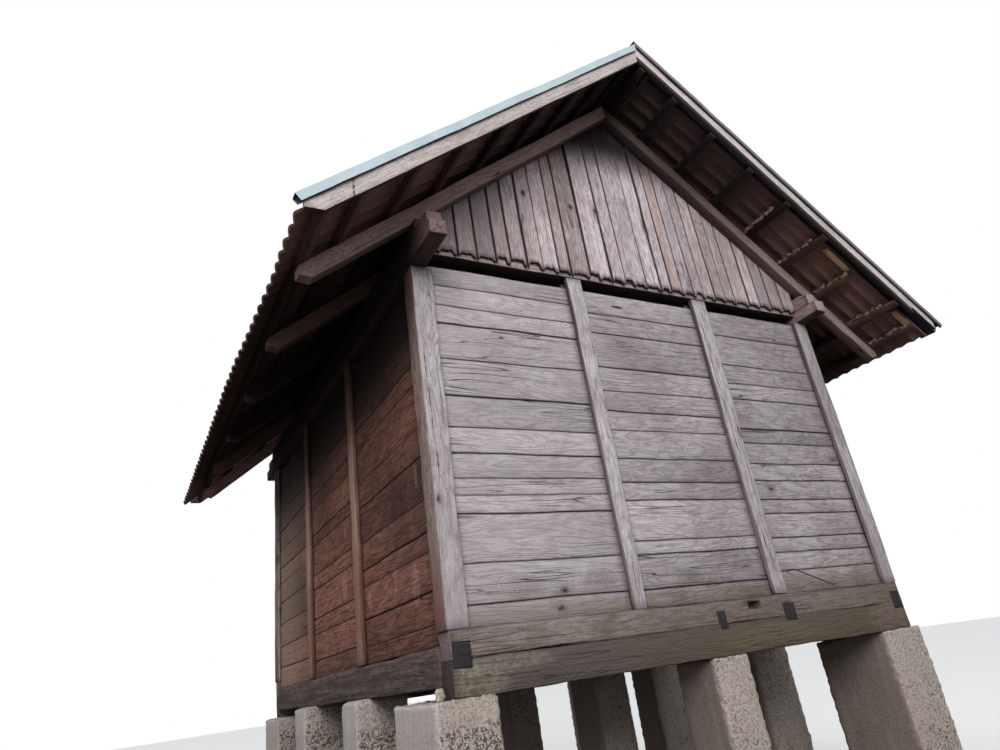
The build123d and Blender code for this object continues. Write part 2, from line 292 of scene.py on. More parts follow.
lightSettings = {
    "skyHigh": 1.15,        # light from straight above
    "skyLow": 0.35,         # light from the horizon
    "groundGlow": 0.04,     # light from below the horizon
    "skyTone": (0.94, 0.97, 1.0, 1),
    "lampPlace": (-4.5, -11.0, 7.0),
    "lampAim": (0, -1.0, 2.2),
    "lampSize": 7.0,
    "lampPower": 950,
    "lampTone": (1.0, 0.985, 0.97),
    "floorTone": (0.80, 0.79, 0.77, 1),
    "floorBounce": (0.10, 0.09, 0.08, 1),
}


def lightSky(settings):
    world = bpy.data.worlds.new("softSky")
    bpy.context.scene.world = world
    world.use_nodes = True
    world.node_tree.nodes.clear()
    sky = Shading(world.node_tree)
    height = sky.split(sky.node("TexCoord").outputs["Generated"])[2]
    upper = sky.ramp(height, 0.0, 0.9, settings["skyLow"], settings["skyHigh"], "LINEAR")
    level = sky.maths("ADD", sky.product(upper, sky.ramp(height, -0.05, 0.02)), settings["groundGlow"])
    glow = sky.node("Background", {"Color": settings["skyTone"], "Strength": level})
    plain = sky.node("Background", {"Color": (1, 1, 1, 1), "Strength": 1.0})
    ray = sky.node("LightPath").outputs
    seen = sky.maths("MAXIMUM", ray["Is Camera Ray"], ray["Is Glossy Ray"])
    seen = sky.maths("MAXIMUM", seen, ray["Is Transmission Ray"])
    mixed = sky.node("MixShader", {0: seen, 1: glow.outputs[0], 2: plain.outputs[0]})
    sky.node("OutputWorld", {"Surface": mixed.outputs[0]})


def placeLamp(settings):
    bpy.ops.object.light_add(type="AREA", location=settings["lampPlace"])
    lamp = bpy.context.object
    lamp.name = "softLamp"
    lamp.data.shape = "DISK"
    lamp.data.size = settings["lampSize"]
    lamp.data.energy = settings["lampPower"]
    lamp.data.color = settings["lampTone"]
    aim = Vector(settings["lampAim"]) - Vector(settings["lampPlace"])
    lamp.rotation_euler = aim.to_track_quat("-Z", "Y").to_euler()


def layFloor(settings):
    bpy.ops.mesh.primitive_plane_add(size=120)
    floor = bpy.context.object
    floor.name = "studioFloor"
    paint = bpy.data.materials.new("floorPaint")
    paint.use_nodes = True
    shade = Shading(paint.node_tree)
    ray = shade.node("LightPath").outputs
    tone = shade.mix(ray["Is Camera Ray"], settings["floorBounce"], settings["floorTone"])
    shade.send({"Base Color": tone, "Roughness": 0.9}, paint.node_tree.nodes["Principled BSDF"].inputs)
    floor.data.materials.append(paint)


placeCamera(cameraSettings)
lightSky(lightSettings)
placeLamp(lightSettings)
layFloor(lightSettings)
bpy.context.scene.view_settings.view_transform = "Standard"
print("camera, floor and lamps placed")


# Shared effects, as node groups

def newGroup(name, inputs, outputs):
    group = bpy.data.node_groups.new(name, "ShaderNodeTree")
    for label, value in inputs.items():
        kind = "Vector" if value is None else "Float"
        socket = group.interface.new_socket(name=label, in_out="INPUT", socket_type="NodeSocket" + kind)
        if value is not None:
            socket.default_value = value
    for label in outputs:
        group.interface.new_socket(name=label, in_out="OUTPUT", socket_type="NodeSocketFloat")
    start = group.nodes.new("NodeGroupInput")
    end = group.nodes.new("NodeGroupOutput")
    return Shading(group), start.outputs, end.inputs


grainStretch = {        # along, across and through a board
    "wander": (1.2, 8.5, 8.5), "knots": (1.7, 5.5, 0.01), "fibre": (7, 230, 230),
    "streaks": (1.6, 42, 42), "splits": (0.9, 24, 24), "splitPlaces": (1.3, 5, 5),
}


def buildGrainGroup():
    # growth rings, fibres, drying cracks and knots of a board; X of the vector runs along the grain
    shade, given, wanted = newGroup(
        "timberGrain",
        {"Vector": None, "Seed": 0.0, "Rings": 16.0, "Knots": 0.4, "Cracks": 0.5, "Swirl": 0.0},
        ("Ring Lines", "Fibre", "Streaks", "Crack Mask", "Knot Mask", "Height"))
    seedShift = shade.vector("MULTIPLY", shade.three(given["Seed"]), (61, 37, 23))
    place = shade.vector("ADD", given["Vector"], seedShift)
    wander = shade.noise(place, detail=2.0, rough=0.45, warp=0.3, stretch=grainStretch["wander"])
    cells = shade.node("TexVoronoi", {"Vector": shade.vector("MULTIPLY", place, grainStretch["knots"]),
                                      "Scale": 1.0}).outputs
    chosen = shade.maths("LESS_THAN", shade.split(cells["Color"])[0], given["Knots"])
    swirl = shade.product(shade.ramp(cells["Distance"], 0.30, 0.0), chosen)
    field = shade.maths("ADD", wander, shade.weighed((swirl, 0.30), (given["Swirl"], 0.42)))
    wave = shade.maths("SINE", shade.product(field, given["Rings"], 2 * math.pi))
    rings = shade.ramp(wave, 0.25, 0.98)
    fibre = shade.noise(place, detail=2.0, rough=0.6, stretch=grainStretch["fibre"])
    fibre = shade.ramp(fibre, 0.3, 0.7, kind="LINEAR")
    streaks = shade.noise(place, detail=2.5, rough=0.6, stretch=grainStretch["streaks"])
    streaks = shade.ramp(streaks, 0.3, 0.7)
    splits = shade.noise(place, detail=1.0, stretch=grainStretch["splits"])
    thin = shade.ramp(shade.apart(splits, 0.5), 0.011, 0.002)
    where = shade.ramp(shade.noise(place, detail=1.0, stretch=grainStretch["splitPlaces"]), 0.50, 0.62)
    cracks = shade.product(thin, where, given["Cracks"])
    core = shade.product(shade.ramp(cells["Distance"], 0.11, 0.04), chosen)
    height = shade.weighed((streaks, 0.4), (fibre, 0.35), (rings, -0.35), (cracks, -2.5), (core, -0.4))
    shade.send({"Ring Lines": rings, "Fibre": fibre, "Streaks": streaks, "Crack Mask": cracks,
                "Knot Mask": core, "Height": height}, wanted)
    return shade.tree


def buildWeatherGroup():
    # broad patches, specks and runs of rain on any outdoor surface
    shade, given, wanted = newGroup("outdoorWeather", {"Vector": None},
                                    ("Patches", "Clouds", "Specks", "Runs"))
    place = given["Vector"]
    shade.send({
        "Patches": shade.ramp(shade.noise(place, scale=1.7, detail=4.0, rough=0.6, warp=0.4), 0.42, 0.68),
        "Clouds": shade.ramp(shade.noise(place, scale=6.5, detail=4.0, rough=0.65), 0.35, 0.7),
        "Specks": shade.ramp(shade.noise(place, scale=75, detail=2.0, rough=0.7), 0.60, 0.70),
        "Runs": shade.ramp(shade.noise(place, detail=3.0, stretch=(16, 16, 0.9)), 0.5, 0.75)}, wanted)
    return shade.tree


def buildSpotGroup():
    # one knot or stain at a known place, its spread given as the reciprocal of its reach
    shade, given, wanted = newGroup("knotSpot", {"Vector": None, "Centre": None, "Spread": None, "Core": 0.2},
                                    ("Swirl", "Dark"))
    away = shade.vector("SUBTRACT", given["Vector"], given["Centre"])
    away = shade.vector("MULTIPLY", away, given["Spread"])
    reach = shade.node("VectorMath", {0: away}, operation="LENGTH").outputs["Value"]
    uneven = shade.maths("MULTIPLY_ADD", shade.noise(given["Vector"], scale=45), 0.5,
                         shade.maths("SUBTRACT", given["Core"], reach))
    shade.send({"Swirl": shade.ramp(reach, 1.0, 0.0), "Dark": shade.ramp(uneven, 0.02, 0.44)}, wanted)
    return shade.tree


grainGroup = buildGrainGroup()
weatherGroup = buildWeatherGroup()
spotGroup = buildSpotGroup()


def newMaterial(name):
    material = bpy.data.materials.new(name)
    material.use_nodes = True
    shade = Shading(material.node_tree)
    place = shade.node("TexCoord").outputs["Object"]
    weather = shade.node("Group", {"Vector": place}, node_tree=weatherGroup).outputs
    return material, shade, place, weather


def wireMaterial(material, shade, colour, rough, height=None, distance=0.002, strength=1.0):
    inputs = material.node_tree.nodes["Principled BSDF"].inputs
    shade.send({"Base Color": colour, "Roughness": rough}, inputs)
    if height:
        bump = shade.node("Bump", {"Height": height, "Distance": distance, "Strength": strength})
        shade.send({"Normal": bump.outputs[0]}, inputs)
    return material


# Woods: each finish has its own tones, and boards differ by their seed

woodBasics = {
    "rings": 17.0, "knots": 0.3, "cracks": 0.7, "ringShade": 0.28, "fibreShade": 0.35, "toneSpread": 0.2,
    "boardTint": 0.0, "pinkShare": 0.5, "patchShare": 0.4, "mottle": 0.3, "speckShare": 0.5,
    "edgeDirt": 0.6, "edgeTone": (58, 48, 48), "edgeReach": 0.008, "endTone": (62, 54, 52), "endReach": 0.05,
    "knotShade": 0.8, "swirlShade": 0.55, "cutShade": 0.85, "deepShade": 0.12, "stainGrain": 48,
    "bump": 0.0035, "rough": 0.88, "roughSpread": 0.1, "shine": 0.25,
    # under is painted shade: a darker tone on faces that face down
    "moss": None, "lower": None, "under": None, "foot": None, "fades": (), "spots": (), "stains": (),
}
whiteDrip = (190, 162, 150)
darkKnot = (36, 22, 20)
postCrack = (60, 50, 52)

# Spots, knots with their grain: X, Z, reach along and across the grain, share of it that is dark.
# Stains: centre, reach, tone, amount.
# Fades: axis, where there is none of it, where all of it, tone, amount. "both" is for fades that are
# alike on both sides of the middle, and "flank" for those on the outer faces of corner posts.
woods = {
    "front_planks": {
        "tone": (190, 184, 188), "dark": (92, 82, 86), "patch": (126, 112, 112), "tint": (190, 174, 178),
        "toneSpread": 0.26, "mottle": 0.42, "patchShare": 0.45,
        "moss": {"tone": (118, 103, 82), "low": 1.28, "high": 1.40, "amount": 0.95, "even": 0.6},
        "spots": ((-0.944, 1.311, 0.080, 0.044, 0.22), (-0.910, 1.391, 0.080, 0.044, 0.26),
                  (-1.110, 1.427, 0.180, 0.064, 0.0), (-0.690, 1.431, 0.160, 0.054, 0.0),
                  (-0.113, 1.406, 0.140, 0.050, 0.0), (0.696, 1.876, 0.070, 0.040, 0.24),
                  # the last spot is a dark slit at the top of the middle bay: painted shade in an open gap
                  (-0.184, 3.031, 0.046, 0.008, 1.0)),
        "fades": ((0, 0.3, -1.4, (220, 212, 217), 0.22), (2, 1.55, 1.25, (104, 90, 74), 0.22)),
    },
    "post_wood": {
        "tone": (204, 200, 205), "dark": (112, 102, 106), "patch": (144, 130, 130), "tint": (190, 178, 182),
        # flank is painted shade on the posts' sideways faces; side is the corner posts' outer faces, browner
        # and lifted past the wood's own tone to stand for the light on them: painted light
        "side": (255, 220, 204), "flank": (140, 124, 120),
        "knots": 0.2, "cracks": 1.0, "toneSpread": 0.1, "mottle": 0.55, "ringShade": 0.36,
        "spots": ((-1.525, 1.825, 0.035, 0.055, 0.28),),
        "stains": (((-1.523, 0, 2.48), (0.004, 0, 0.12), postCrack, 0.8),
                   ((-1.517, 0, 2.27), (0.004, 0, 0.13), postCrack, 0.8),
                   ((-1.510, 0, 2.02), (0.004, 0, 0.11), postCrack, 0.8)),
        "moss": {"tone": (120, 108, 76), "low": 1.20, "high": 1.34, "amount": 0.5},
        # The fade from 2.45 up on the outer faces is painted shade under the eave
        "fades": ((2, 1.9, 1.25, (156, 147, 149), 0.45), (2, 1.75, 1.25, (176, 108, 94), 0.75, "flank"),
                  (2, 2.45, 3.0, (138, 84, 84), 0.8, "flank")),
    },
    "side_planks": {
        "tone": (156, 104, 88), "dark": (58, 34, 28), "patch": (98, 68, 60), "tint": (184, 130, 106),
        "speckShare": 0.1, "rings": 12.0, "toneSpread": 0.46, "mottle": 0.65, "patchShare": 0.7,
        "ringShade": 0.4, "fibreShade": 0.45,
        "stains": (((0, -0.236, 1.689), (0, 0.05, 0.07), whiteDrip, 0.40),
                   ((0, -0.716, 1.540), (0, 0.03, 0.05), whiteDrip, 0.35),
                   ((0, -1.146, 1.589), (0, 0.03, 0.07), whiteDrip, 0.30),
                   ((0, -1.415, 1.518), (0, 0.05, 0.10), whiteDrip, 0.40),
                   ((0, -0.291, 2.031), (0, 0.03, 0.05), whiteDrip, 0.30),
                   ((0, -1.532, 2.009), (0, 0.02, 0.06), whiteDrip, 0.30),
                   ((0, -1.323, 1.958), (0, 0.030, 0.022), darkKnot, 0.9),
                   ((0, -0.968, 2.272), (0, 0.060, 0.014), darkKnot, 0.8)),
        # The fade from 2.25 up is painted shade under the eave
        "fades": ((1, 0.35, 1.6, (184, 156, 140), 0.55), (2, 2.25, 2.85, (20, 15, 17), 0.92)),
    },
    "side_post_wood": {
        # Its tone is lifted past the wood's own to stand for the light on the studs: painted light. The fade
        # from 2.35 up is painted shade under the eave
        "tone": (228, 194, 172), "dark": (106, 70, 60), "patch": (178, 138, 120), "tint": (206, 160, 138),
        "speckShare": 0.1, "knots": 0.15,
        "fades": ((2, 2.05, 1.65, (140, 96, 82), 0.8), (2, 2.35, 2.75, (84, 62, 60), 0.8)),
    },
    "sill_wood": {
        "tone": (152, 142, 138), "dark": (72, 62, 58), "patch": (108, 96, 88), "tint": (154, 140, 134),
        "cracks": 0.4, "toneSpread": 0.05, "patchShare": 0.65, "mottle": 0.65, "endTone": (62, 53, 53),
        "rings": 9.0, "ringShade": 0.14, "fibreShade": 0.42,
        "lower": {"tone": (90, 81, 77), "top": 1.150},
        "stains": (((-1.440, 0, 1.050), (0.15, 0, 0.060), (142, 132, 112), 0.6),
                   ((-1.300, 0, 1.110), (0.25, 0, 0.035), (140, 130, 124), 0.5),
                   ((1.400, 0, 1.070), (0.22, 0, 0.080), (140, 124, 118), 0.6),
                   ((0.350, 0, 1.060), (0.34, 0, 0.060), (112, 102, 78), 0.6)),
        "moss": {"tone": (104, 94, 66), "low": 1.04, "high": 1.16, "amount": 0.85, "from": -0.6},
        "fades": ((0, -0.9, -0.2, (86, 73, 60), 0.40),),
    },
    "plate_wood": {
        "tone": (166, 144, 138), "dark": (84, 64, 58), "patch": (132, 110, 104), "tint": (158, 134, 130),
        "cracks": 1.0, "knots": 0.15, "endTone": (182, 168, 166), "under": (112, 84, 72),
    },
    "gable_boards": {
        "tone": (232, 227, 238), "dark": (96, 82, 88), "patch": (158, 138, 140), "tint": (212, 188, 182),
        "toneSpread": 0.28, "boardTint": 0.7, "mottle": 0.5, "patchShare": 0.55, "edgeDirt": 0.9,
        "spots": ((-0.769, 3.725, 0.034, 0.052, 0.40), (-0.424, 3.702, 0.030, 0.045, 0.36),
                  (-0.229, 3.715, 0.040, 0.070, 0.22)),
        # The two fades from 3.95 and 4.00 up are painted shade near the apex, under the roof's edge; the
        # other two make the boards darker towards both ends
        "fades": ((0, -0.5, -1.3, (112, 98, 104), 0.45), (0, 0.95, 1.35, (120, 100, 100), 0.45),
                  (2, 3.95, 4.35, (120, 98, 96), 0.45), (2, 4.00, 4.34, (24, 17, 21), 0.95)),
    },
    "rafter_wood": {
        "tone": (182, 158, 156), "dark": (88, 70, 66), "patch": (140, 116, 112), "tint": (170, 142, 140),
        "cracks": 1.0, "endTone": (130, 110, 106), "under": (150, 126, 122),
        # Its fades are painted shade: dark on the rafters within the roof, and towards the ridge
        "fades": ((1, 1.76, 1.66, (52, 42, 42), 1.0, "both"), (0, 1.45, 0.5, (60, 42, 44), 0.85)),
    },
    "batten_wood": {
        "tone": (98, 76, 70), "dark": (60, 44, 40), "patch": (84, 66, 62), "tint": (106, 82, 76),
        # Its fades are painted shade under the tiles: within the roof and towards the ridge
        "fades": ((1, 1.95, 1.75, (34, 26, 26), 1.0, "both"), (2, 3.40, 3.70, (28, 19, 20), 1.0)),
    },
    "barge_wood": {
        "tone": (220, 211, 209), "dark": (122, 110, 104), "patch": (166, 150, 146), "tint": (210, 198, 196),
        "speckShare": 0.8, "ringShade": 0.05, "fibreShade": 0.16, "endTone": (150, 138, 134),
        "mottle": 0.5, "under": (66, 48, 42), "edgeDirt": 0.3,
        "stains": (((-2.000, 0, 3.063), (0.005, 0, 0.110), (44, 34, 32), 0.9),),
    },
    "floor_wood": {
        "tone": (116, 94, 76), "dark": (70, 52, 40), "patch": (94, 74, 58), "tint": (112, 88, 72),
    },
    "mortar": {
        "tone": (206, 176, 168), "dark": (96, 70, 66), "patch": (160, 130, 124), "tint": (212, 182, 174),
        "rings": 2.0, "cracks": 0.0, "edgeDirt": 0.0,
    },
    "packing_wood": {
        "tone": (214, 182, 146), "dark": (112, 84, 60), "patch": (178, 148, 116), "tint": (218, 182, 144),
    },
}

# Timbers of the same wood that look otherwise where they are: wood, changes, nodes. Several changes below are
# painted light and painted shade, as marked
variants = {
    "left_rafter_wood": ("rafter_wood", {
        # A lighter copy of rafter_wood for the lit end pair, which is painted light; its fades are painted
        # shade on the rafters behind them
        "tone": (236, 198, 200), "tint": (220, 178, 178), "patch": (166, 138, 136),
        "endTone": (160, 138, 132),
        "fades": ((1, 1.76, 1.66, (96, 70, 68), 0.8, "both"), (1, 1.2, 0.8, (24, 18, 20), 0.9, "both"))},
        ("left_rafters",)),
    "side_sill_wood": ("sill_wood", {
        "tone": (80, 66, 66), "patch": (50, 39, 40), "endTone": (40, 38, 44), "moss": None, "lower": None,
        "fades": (), "stains": ()}, ("left_side_sill", "right_side_sill", "floor_joists")),
    "upper_sill_wood": ("sill_wood", {"endTone": (130, 114, 116)}, ("front_upper_sill", "back_upper_sill")),
    "stud_wood": ("post_wood", {
        "tone": (218, 214, 220), "tint": (204, 192, 198), "spots": (), "stains": ()},
        ("front_studs", "back_studs")),
    "tie_wood": ("plate_wood", {
        # Its near-black under tone is painted shade under the tie beams
        "tone": (206, 192, 194), "patch": (168, 144, 140), "under": (26, 20, 20)},
        ("front_tie_beam", "back_tie_beam")),
    "left_plate_wood": ("plate_wood", {
        # A darker copy of plate_wood, painted shade under the left eave; its fade is painted shade within the
        # roof
        "tone": (132, 108, 100), "endTone": (124, 106, 104),
        "fades": ((1, 2.0, 1.75, (26, 20, 22), 0.9, "both"),)}, ("left_lower_plate", "left_upper_plate")),
    "right_barge_wood": ("barge_wood", {"foot": {"width": 0.028, "tone": (58, 48, 50)}},
                         ("front_right_barge_board", "back_right_barge_board")),
}
finishOf = {}
for name, (wood, changes, nodes) in variants.items():
    woods[name] = {**woods[wood], **changes}
    finishOf.update({node: name for node in nodes})


def woodMaterial(name, finish):
    look = {**woodBasics, **finish}
    material, shade, place, weather = newMaterial(name)
    spotX, _, spotZ = spot = shade.split(place)
    grainPlace = shade.attribute("grain")
    along, across, _ = shade.split(grainPlace)
    seed, halfWidth, halfLength = shade.split(shade.attribute("board"))
    dark, patch = look["dark"], look["patch"]

    swirl, knotDark = 0.0, 0.0
    for x, z, reachAlong, reachAcross, core in look["spots"]:
        knot = shade.spot(place, (x, 0, z), (reachAlong, 0, reachAcross), core)
        swirl = shade.maths("MAXIMUM", knot["Swirl"], swirl)
        if core:
            knotDark = shade.maths("MAXIMUM", knot["Dark"], knotDark)
    grain = shade.node("Group", {
        "Vector": grainPlace, "Seed": seed, "Rings": look["rings"], "Knots": look["knots"],
        "Cracks": look["cracks"], "Swirl": swirl}, node_tree=grainGroup).outputs

    boardTint = shade.product(shade.maths("FRACT", shade.product(seed, 31.7)), look["boardTint"])
    tintShare = shade.maths("MULTIPLY_ADD", grain["Streaks"], look["pinkShare"], boardTint, True)
    colour = shade.mix(tintShare, screenTone(*look["tone"]), screenTone(*look["tint"]))
    colour = shade.tint(colour, patch, weather["Patches"], look["patchShare"])
    facingX, _, facingZ = shade.facing()
    # Painted shade on faces that face sideways, and painted light on the corner posts' outer faces
    sidewaysFaces = shade.ramp(shade.apart(facingX), 0.4, 0.8)
    outside = shade.product(shade.ramp(shade.apart(spotX), 1.50, 1.52), sidewaysFaces)
    if "side" in look:
        colour = shade.tint(colour, look["flank"], sidewaysFaces)
        colour = shade.tint(colour, look["side"], outside)
    mottle = shade.noise(grainPlace, detail=3.0, rough=0.7, stretch=(14, 40, 40))
    colour = shade.tint(colour, patch, shade.ramp(mottle, 0.42, 0.66), look["mottle"])
    if look["lower"]:
        top = look["lower"]["top"]
        colour = shade.tint(colour, look["lower"]["tone"], shade.ramp(spotZ, top + 0.004, top - 0.004))
    if look["moss"]:
        moss = look["moss"]
        even = moss.get("even", 0.3)
        wet = shade.product(shade.ramp(spotZ, moss["high"], moss["low"]),
                            shade.maths("MULTIPLY_ADD", weather["Clouds"], 1 - even, even))
        if "from" in moss:
            wet = shade.product(wet, shade.ramp(spotX, moss["from"], moss["from"] + 1.2))
        colour = shade.tint(colour, moss["tone"], wet, moss["amount"])

    if look["spots"]:
        colour = shade.tint(colour, patch, swirl, look["swirlShade"])
    for mask, amount in ((grain["Ring Lines"], "ringShade"), (grain["Fibre"], "fibreShade"),
                         (weather["Specks"], "speckShare"), (grain["Knot Mask"], "knotShade")):
        colour = shade.tint(colour, dark, mask, look[amount])
    spread = look["toneSpread"]
    level = shade.ramp(shade.maths("FRACT", shade.product(seed, 7.3)), 0.0, 1.0, 1 - spread,
                       1 + spread * 0.6, "LINEAR")
    colour = shade.mix(1.0, colour, shade.three(level), "MULTIPLY")
    # Painted shade on faces that face down
    if look["under"]:
        colour = shade.tint(colour, look["under"], shade.ramp(facingZ, -0.35, -0.7))
    if look["foot"]:
        width = look["foot"]["width"]
        fromFoot = shade.maths("ADD", across, halfWidth)
        colour = shade.tint(colour, look["foot"]["tone"], shade.ramp(fromFoot, width + 0.002, width - 0.002))
    if look["stains"]:
        broken = shade.noise(place, scale=look["stainGrain"], detail=4.0, rough=0.7)
        broken = shade.ramp(broken, 0.40, 0.60, 0.30, 1.0)
    for centre, reach, tone, amount in look["stains"]:
        colour = shade.tint(colour, tone, shade.spot(place, centre, reach, 1.0)["Dark"], amount, broken)
    for axis, none, full, tone, amount, *where in look["fades"]:
        distance = shade.apart(spot[axis]) if "both" in where else spot[axis]
        mask = [outside] if "flank" in where else []
        colour = shade.tint(colour, tone, shade.ramp(distance, none, full), amount, *mask)

    rim = shade.maths("SUBTRACT", halfWidth, shade.apart(across))
    butt = shade.maths("SUBTRACT", halfLength, shade.apart(along))
    colour = shade.tint(colour, dark, shade.ramp(butt, look["endReach"], 0.0), look["edgeDirt"])
    colour = shade.tint(colour, look["edgeTone"], shade.ramp(rim, look["edgeReach"], 0.001), look["edgeDirt"])
    colour = shade.tint(colour, look["endTone"], shade.ramp(butt, 0.004, 0.001), look["cutShade"])
    deep = tuple(look["deepShade"] * value for value in screenTone(*dark)[:3]) + (1,)
    if look["spots"]:
        colour = shade.mix(shade.product(knotDark, look["cutShade"]), colour, deep)
    colour = shade.mix(grain["Crack Mask"], colour, deep)
    rough = shade.ramp(grain["Fibre"], 0.0, 1.0, look["rough"] - look["roughSpread"],
                       look["rough"] + look["roughSpread"], "LINEAR")
    material.node_tree.nodes["Principled BSDF"].inputs["Specular IOR Level"].default_value = look["shine"]
    return wireMaterial(material, shade, colour, rough, grain["Height"], look["bump"])


materials = {name: woodMaterial(name, finish) for name, finish in woods.items()}


# Concrete, clay and coated sheet

concreteSettings = {
    "cement": (188, 177, 169), "sand": (156, 143, 133), "stone": (122, 112, 104), "pit": (52, 40, 34),
    "stain": (118, 98, 92), "chalk": (196, 186, 180), "soil": (104, 84, 66),
    "pitSizes": (           # noise scale, detail, roughness, threshold from and to, more in the honeycomb
        (115, 2.0, 0.6, 0.600, 0.620, 0.035),
        (46, 3.0, 0.7, 0.595, 0.612, 0.045)),
    "honeycomb": 0.84,      # level of the coarse band on the left piers
}


def concreteMaterial():
    settings = concreteSettings
    material, shade, place, weather = newMaterial("concrete")
    spotX, _, spotZ = shade.split(place)
    leftFace = shade.ramp(shade.facing()[0], -0.4, -0.8)
    outer = shade.ramp(spotX, -1.50, -1.58)
    inner = shade.maths("SUBTRACT", 1.0, outer)
    grit = shade.noise(place, scale=105, detail=4.0, rough=0.75)
    pebbles = shade.node("TexVoronoi", {"Vector": place, "Scale": 60.0}).outputs["Distance"]
    clusters = shade.ramp(shade.noise(place, scale=3.6, detail=2.0), 0.40, 0.60, 0.35, 1.0)
    honeycomb = shade.product(shade.ramp(shade.apart(spotZ, settings["honeycomb"]), 0.095, 0.03),
                              shade.ramp(spotX, -1.2, -1.3))
    pits = 0.0
    for scale, detail, rough, low, high, more in settings["pitSizes"]:
        noise = shade.maths("MULTIPLY_ADD", honeycomb, more, shade.noise(place, scale, detail, rough))
        pits = shade.maths("MAXIMUM", shade.ramp(noise, low, high), pits)
    pits = shade.product(pits, shade.maths("MAXIMUM", clusters, honeycomb),
                         shade.ramp(leftFace, 0.0, 1.0, 1.0, 0.25))
    formMarks = shade.ramp(shade.noise(place, detail=4.0, rough=0.7, stretch=(3, 70, 5)), 0.42, 0.66)

    colour = shade.mix(shade.ramp(grit, 0.40, 0.60), screenTone(*settings["sand"]),
                       screenTone(*settings["cement"]))
    for tone, *shares in (
            ("sand", weather["Patches"], 0.45), ("stone", shade.ramp(pebbles, 0.30, 0.10), 0.25),
            # On the inner piers' left faces the stain tone is partly dirt and partly painted shade
            ("chalk", leftFace, outer), ("stain", leftFace, inner, 0.55), ("chalk", weather["Runs"], 0.25),
            ("stone", formMarks, leftFace, 0.22), ("pit", pits, 0.85),
            ("soil", shade.ramp(spotZ, 0.35, 0.0), weather["Clouds"])):
        colour = shade.tint(colour, settings[tone], *shares)
    height = shade.weighed((grit, 0.6), (pits, -1.6), (pebbles, -0.3))
    return wireMaterial(material, shade, colour, 0.93, height, 0.0035)


clayTones = {
    "clay": (96, 60, 50), "pale": (122, 88, 76), "soot": (50, 38, 38), "lichen": (132, 124, 104),
    # under is painted shade on the tiles' undersides, verge is painted light on them near the verge ends,
    # nose is a painted highlight
    "nose": (120, 98, 96), "under": (62, 48, 50), "verge": (132, 100, 96),
}


def clayMaterial():
    tones = clayTones
    material, shade, place, weather = newMaterial("tile_clay")
    _, spotY, spotZ = shade.split(place)
    mottle = shade.noise(place, scale=9, detail=4.0, rough=0.7)
    colour = shade.mix(shade.ramp(mottle, 0.35, 0.7), screenTone(*tones["clay"]), screenTone(*tones["pale"]))
    colour = shade.tint(colour, tones["soot"], weather["Clouds"], 0.75)
    upward = shade.facing()[2]
    lichen = shade.ramp(shade.noise(place, scale=26, detail=3.0), 0.58, 0.66)
    colour = shade.tint(colour, tones["lichen"], lichen, shade.ramp(upward, 0.2, 0.6), 0.6)
    # Painted shade on faces that face down, with painted light near the verge ends
    verge = shade.product(shade.ramp(shade.apart(spotY), 1.45, 1.9), shade.ramp(spotZ, 4.1, 3.4))
    under = shade.mix(verge, screenTone(*tones["under"]), screenTone(*tones["verge"]))
    colour = shade.mix(shade.product(shade.ramp(upward, -0.2, -0.5), 0.85), colour, under)
    halfLength = shade.split(shade.attribute("board"))[2]
    fromNose = shade.maths("SUBTRACT", halfLength, shade.split(shade.attribute("grain"))[0])
    # Painted highlight: a lighter tone at the tiles' noses, in patches
    wornAndLit = shade.ramp(shade.noise(place, scale=30, detail=2.0), 0.38, 0.55)
    colour = shade.tint(colour, tones["nose"], shade.ramp(fromNose, 0.012, 0.002), wornAndLit)
    return wireMaterial(material, shade, colour, shade.ramp(mottle, 0.3, 0.7, 0.7, 0.95),
                        shade.noise(place, scale=60, detail=4.0), 0.002)


sheetTones = {
    "coat": (166, 184, 194), "chalk": (180, 196, 203), "grime": (120, 134, 144), "under": (30, 34, 52),
    "rightSlopeShade": (104, 96, 104),
}


def sheetMaterial():
    tones = sheetTones
    material, shade, place, weather = newMaterial("flashing_metal")
    colour = shade.mix(weather["Clouds"], screenTone(*tones["coat"]), screenTone(*tones["chalk"]))
    colour = shade.tint(colour, tones["grime"], weather["Specks"], 0.35)
    # Painted shade: a darker tone on the right slope's sheet
    colour = shade.tint(colour, tones["rightSlopeShade"], shade.ramp(shade.split(place)[0], -0.001, 0.001))
    # The dark tone on faces that face down is partly the blue paint of the sheet's underside and partly
    # painted shade
    colour = shade.tint(colour, tones["under"], shade.ramp(shade.facing()[2], -0.15, -0.5))
    return wireMaterial(material, shade, colour, shade.ramp(weather["Clouds"], 0.0, 1.0, 0.4, 0.6),
                        weather["Clouds"], 0.0015, 0.6)


def ironMaterial():
    material, shade, place, weather = newMaterial("rustyIron")
    colour = shade.mix(weather["Clouds"], screenTone(62, 44, 40), screenTone(96, 62, 50))
    return wireMaterial(material, shade, colour, shade.ramp(weather["Specks"], 0.0, 1.0, 0.7, 0.95))


materials["concrete"] = concreteMaterial()
materials["tile_clay"] = clayMaterial()
materials["flashing_metal"] = sheetMaterial()
print("materials made,", len(materials))


# Boards and squared timbers, each made along X and then put in place

standing = Matrix(((0, -1, 0, 0), (0, 0, 1, 0), (1, 0, 0, 0), (0, 0, 0, 1)))     # length up, face to -Y
lying = Matrix(((1, 0, 0, 0), (0, 0, -1, 0), (0, 1, 0, 0), (0, 0, 0, 1)))       # length level, face to -Y


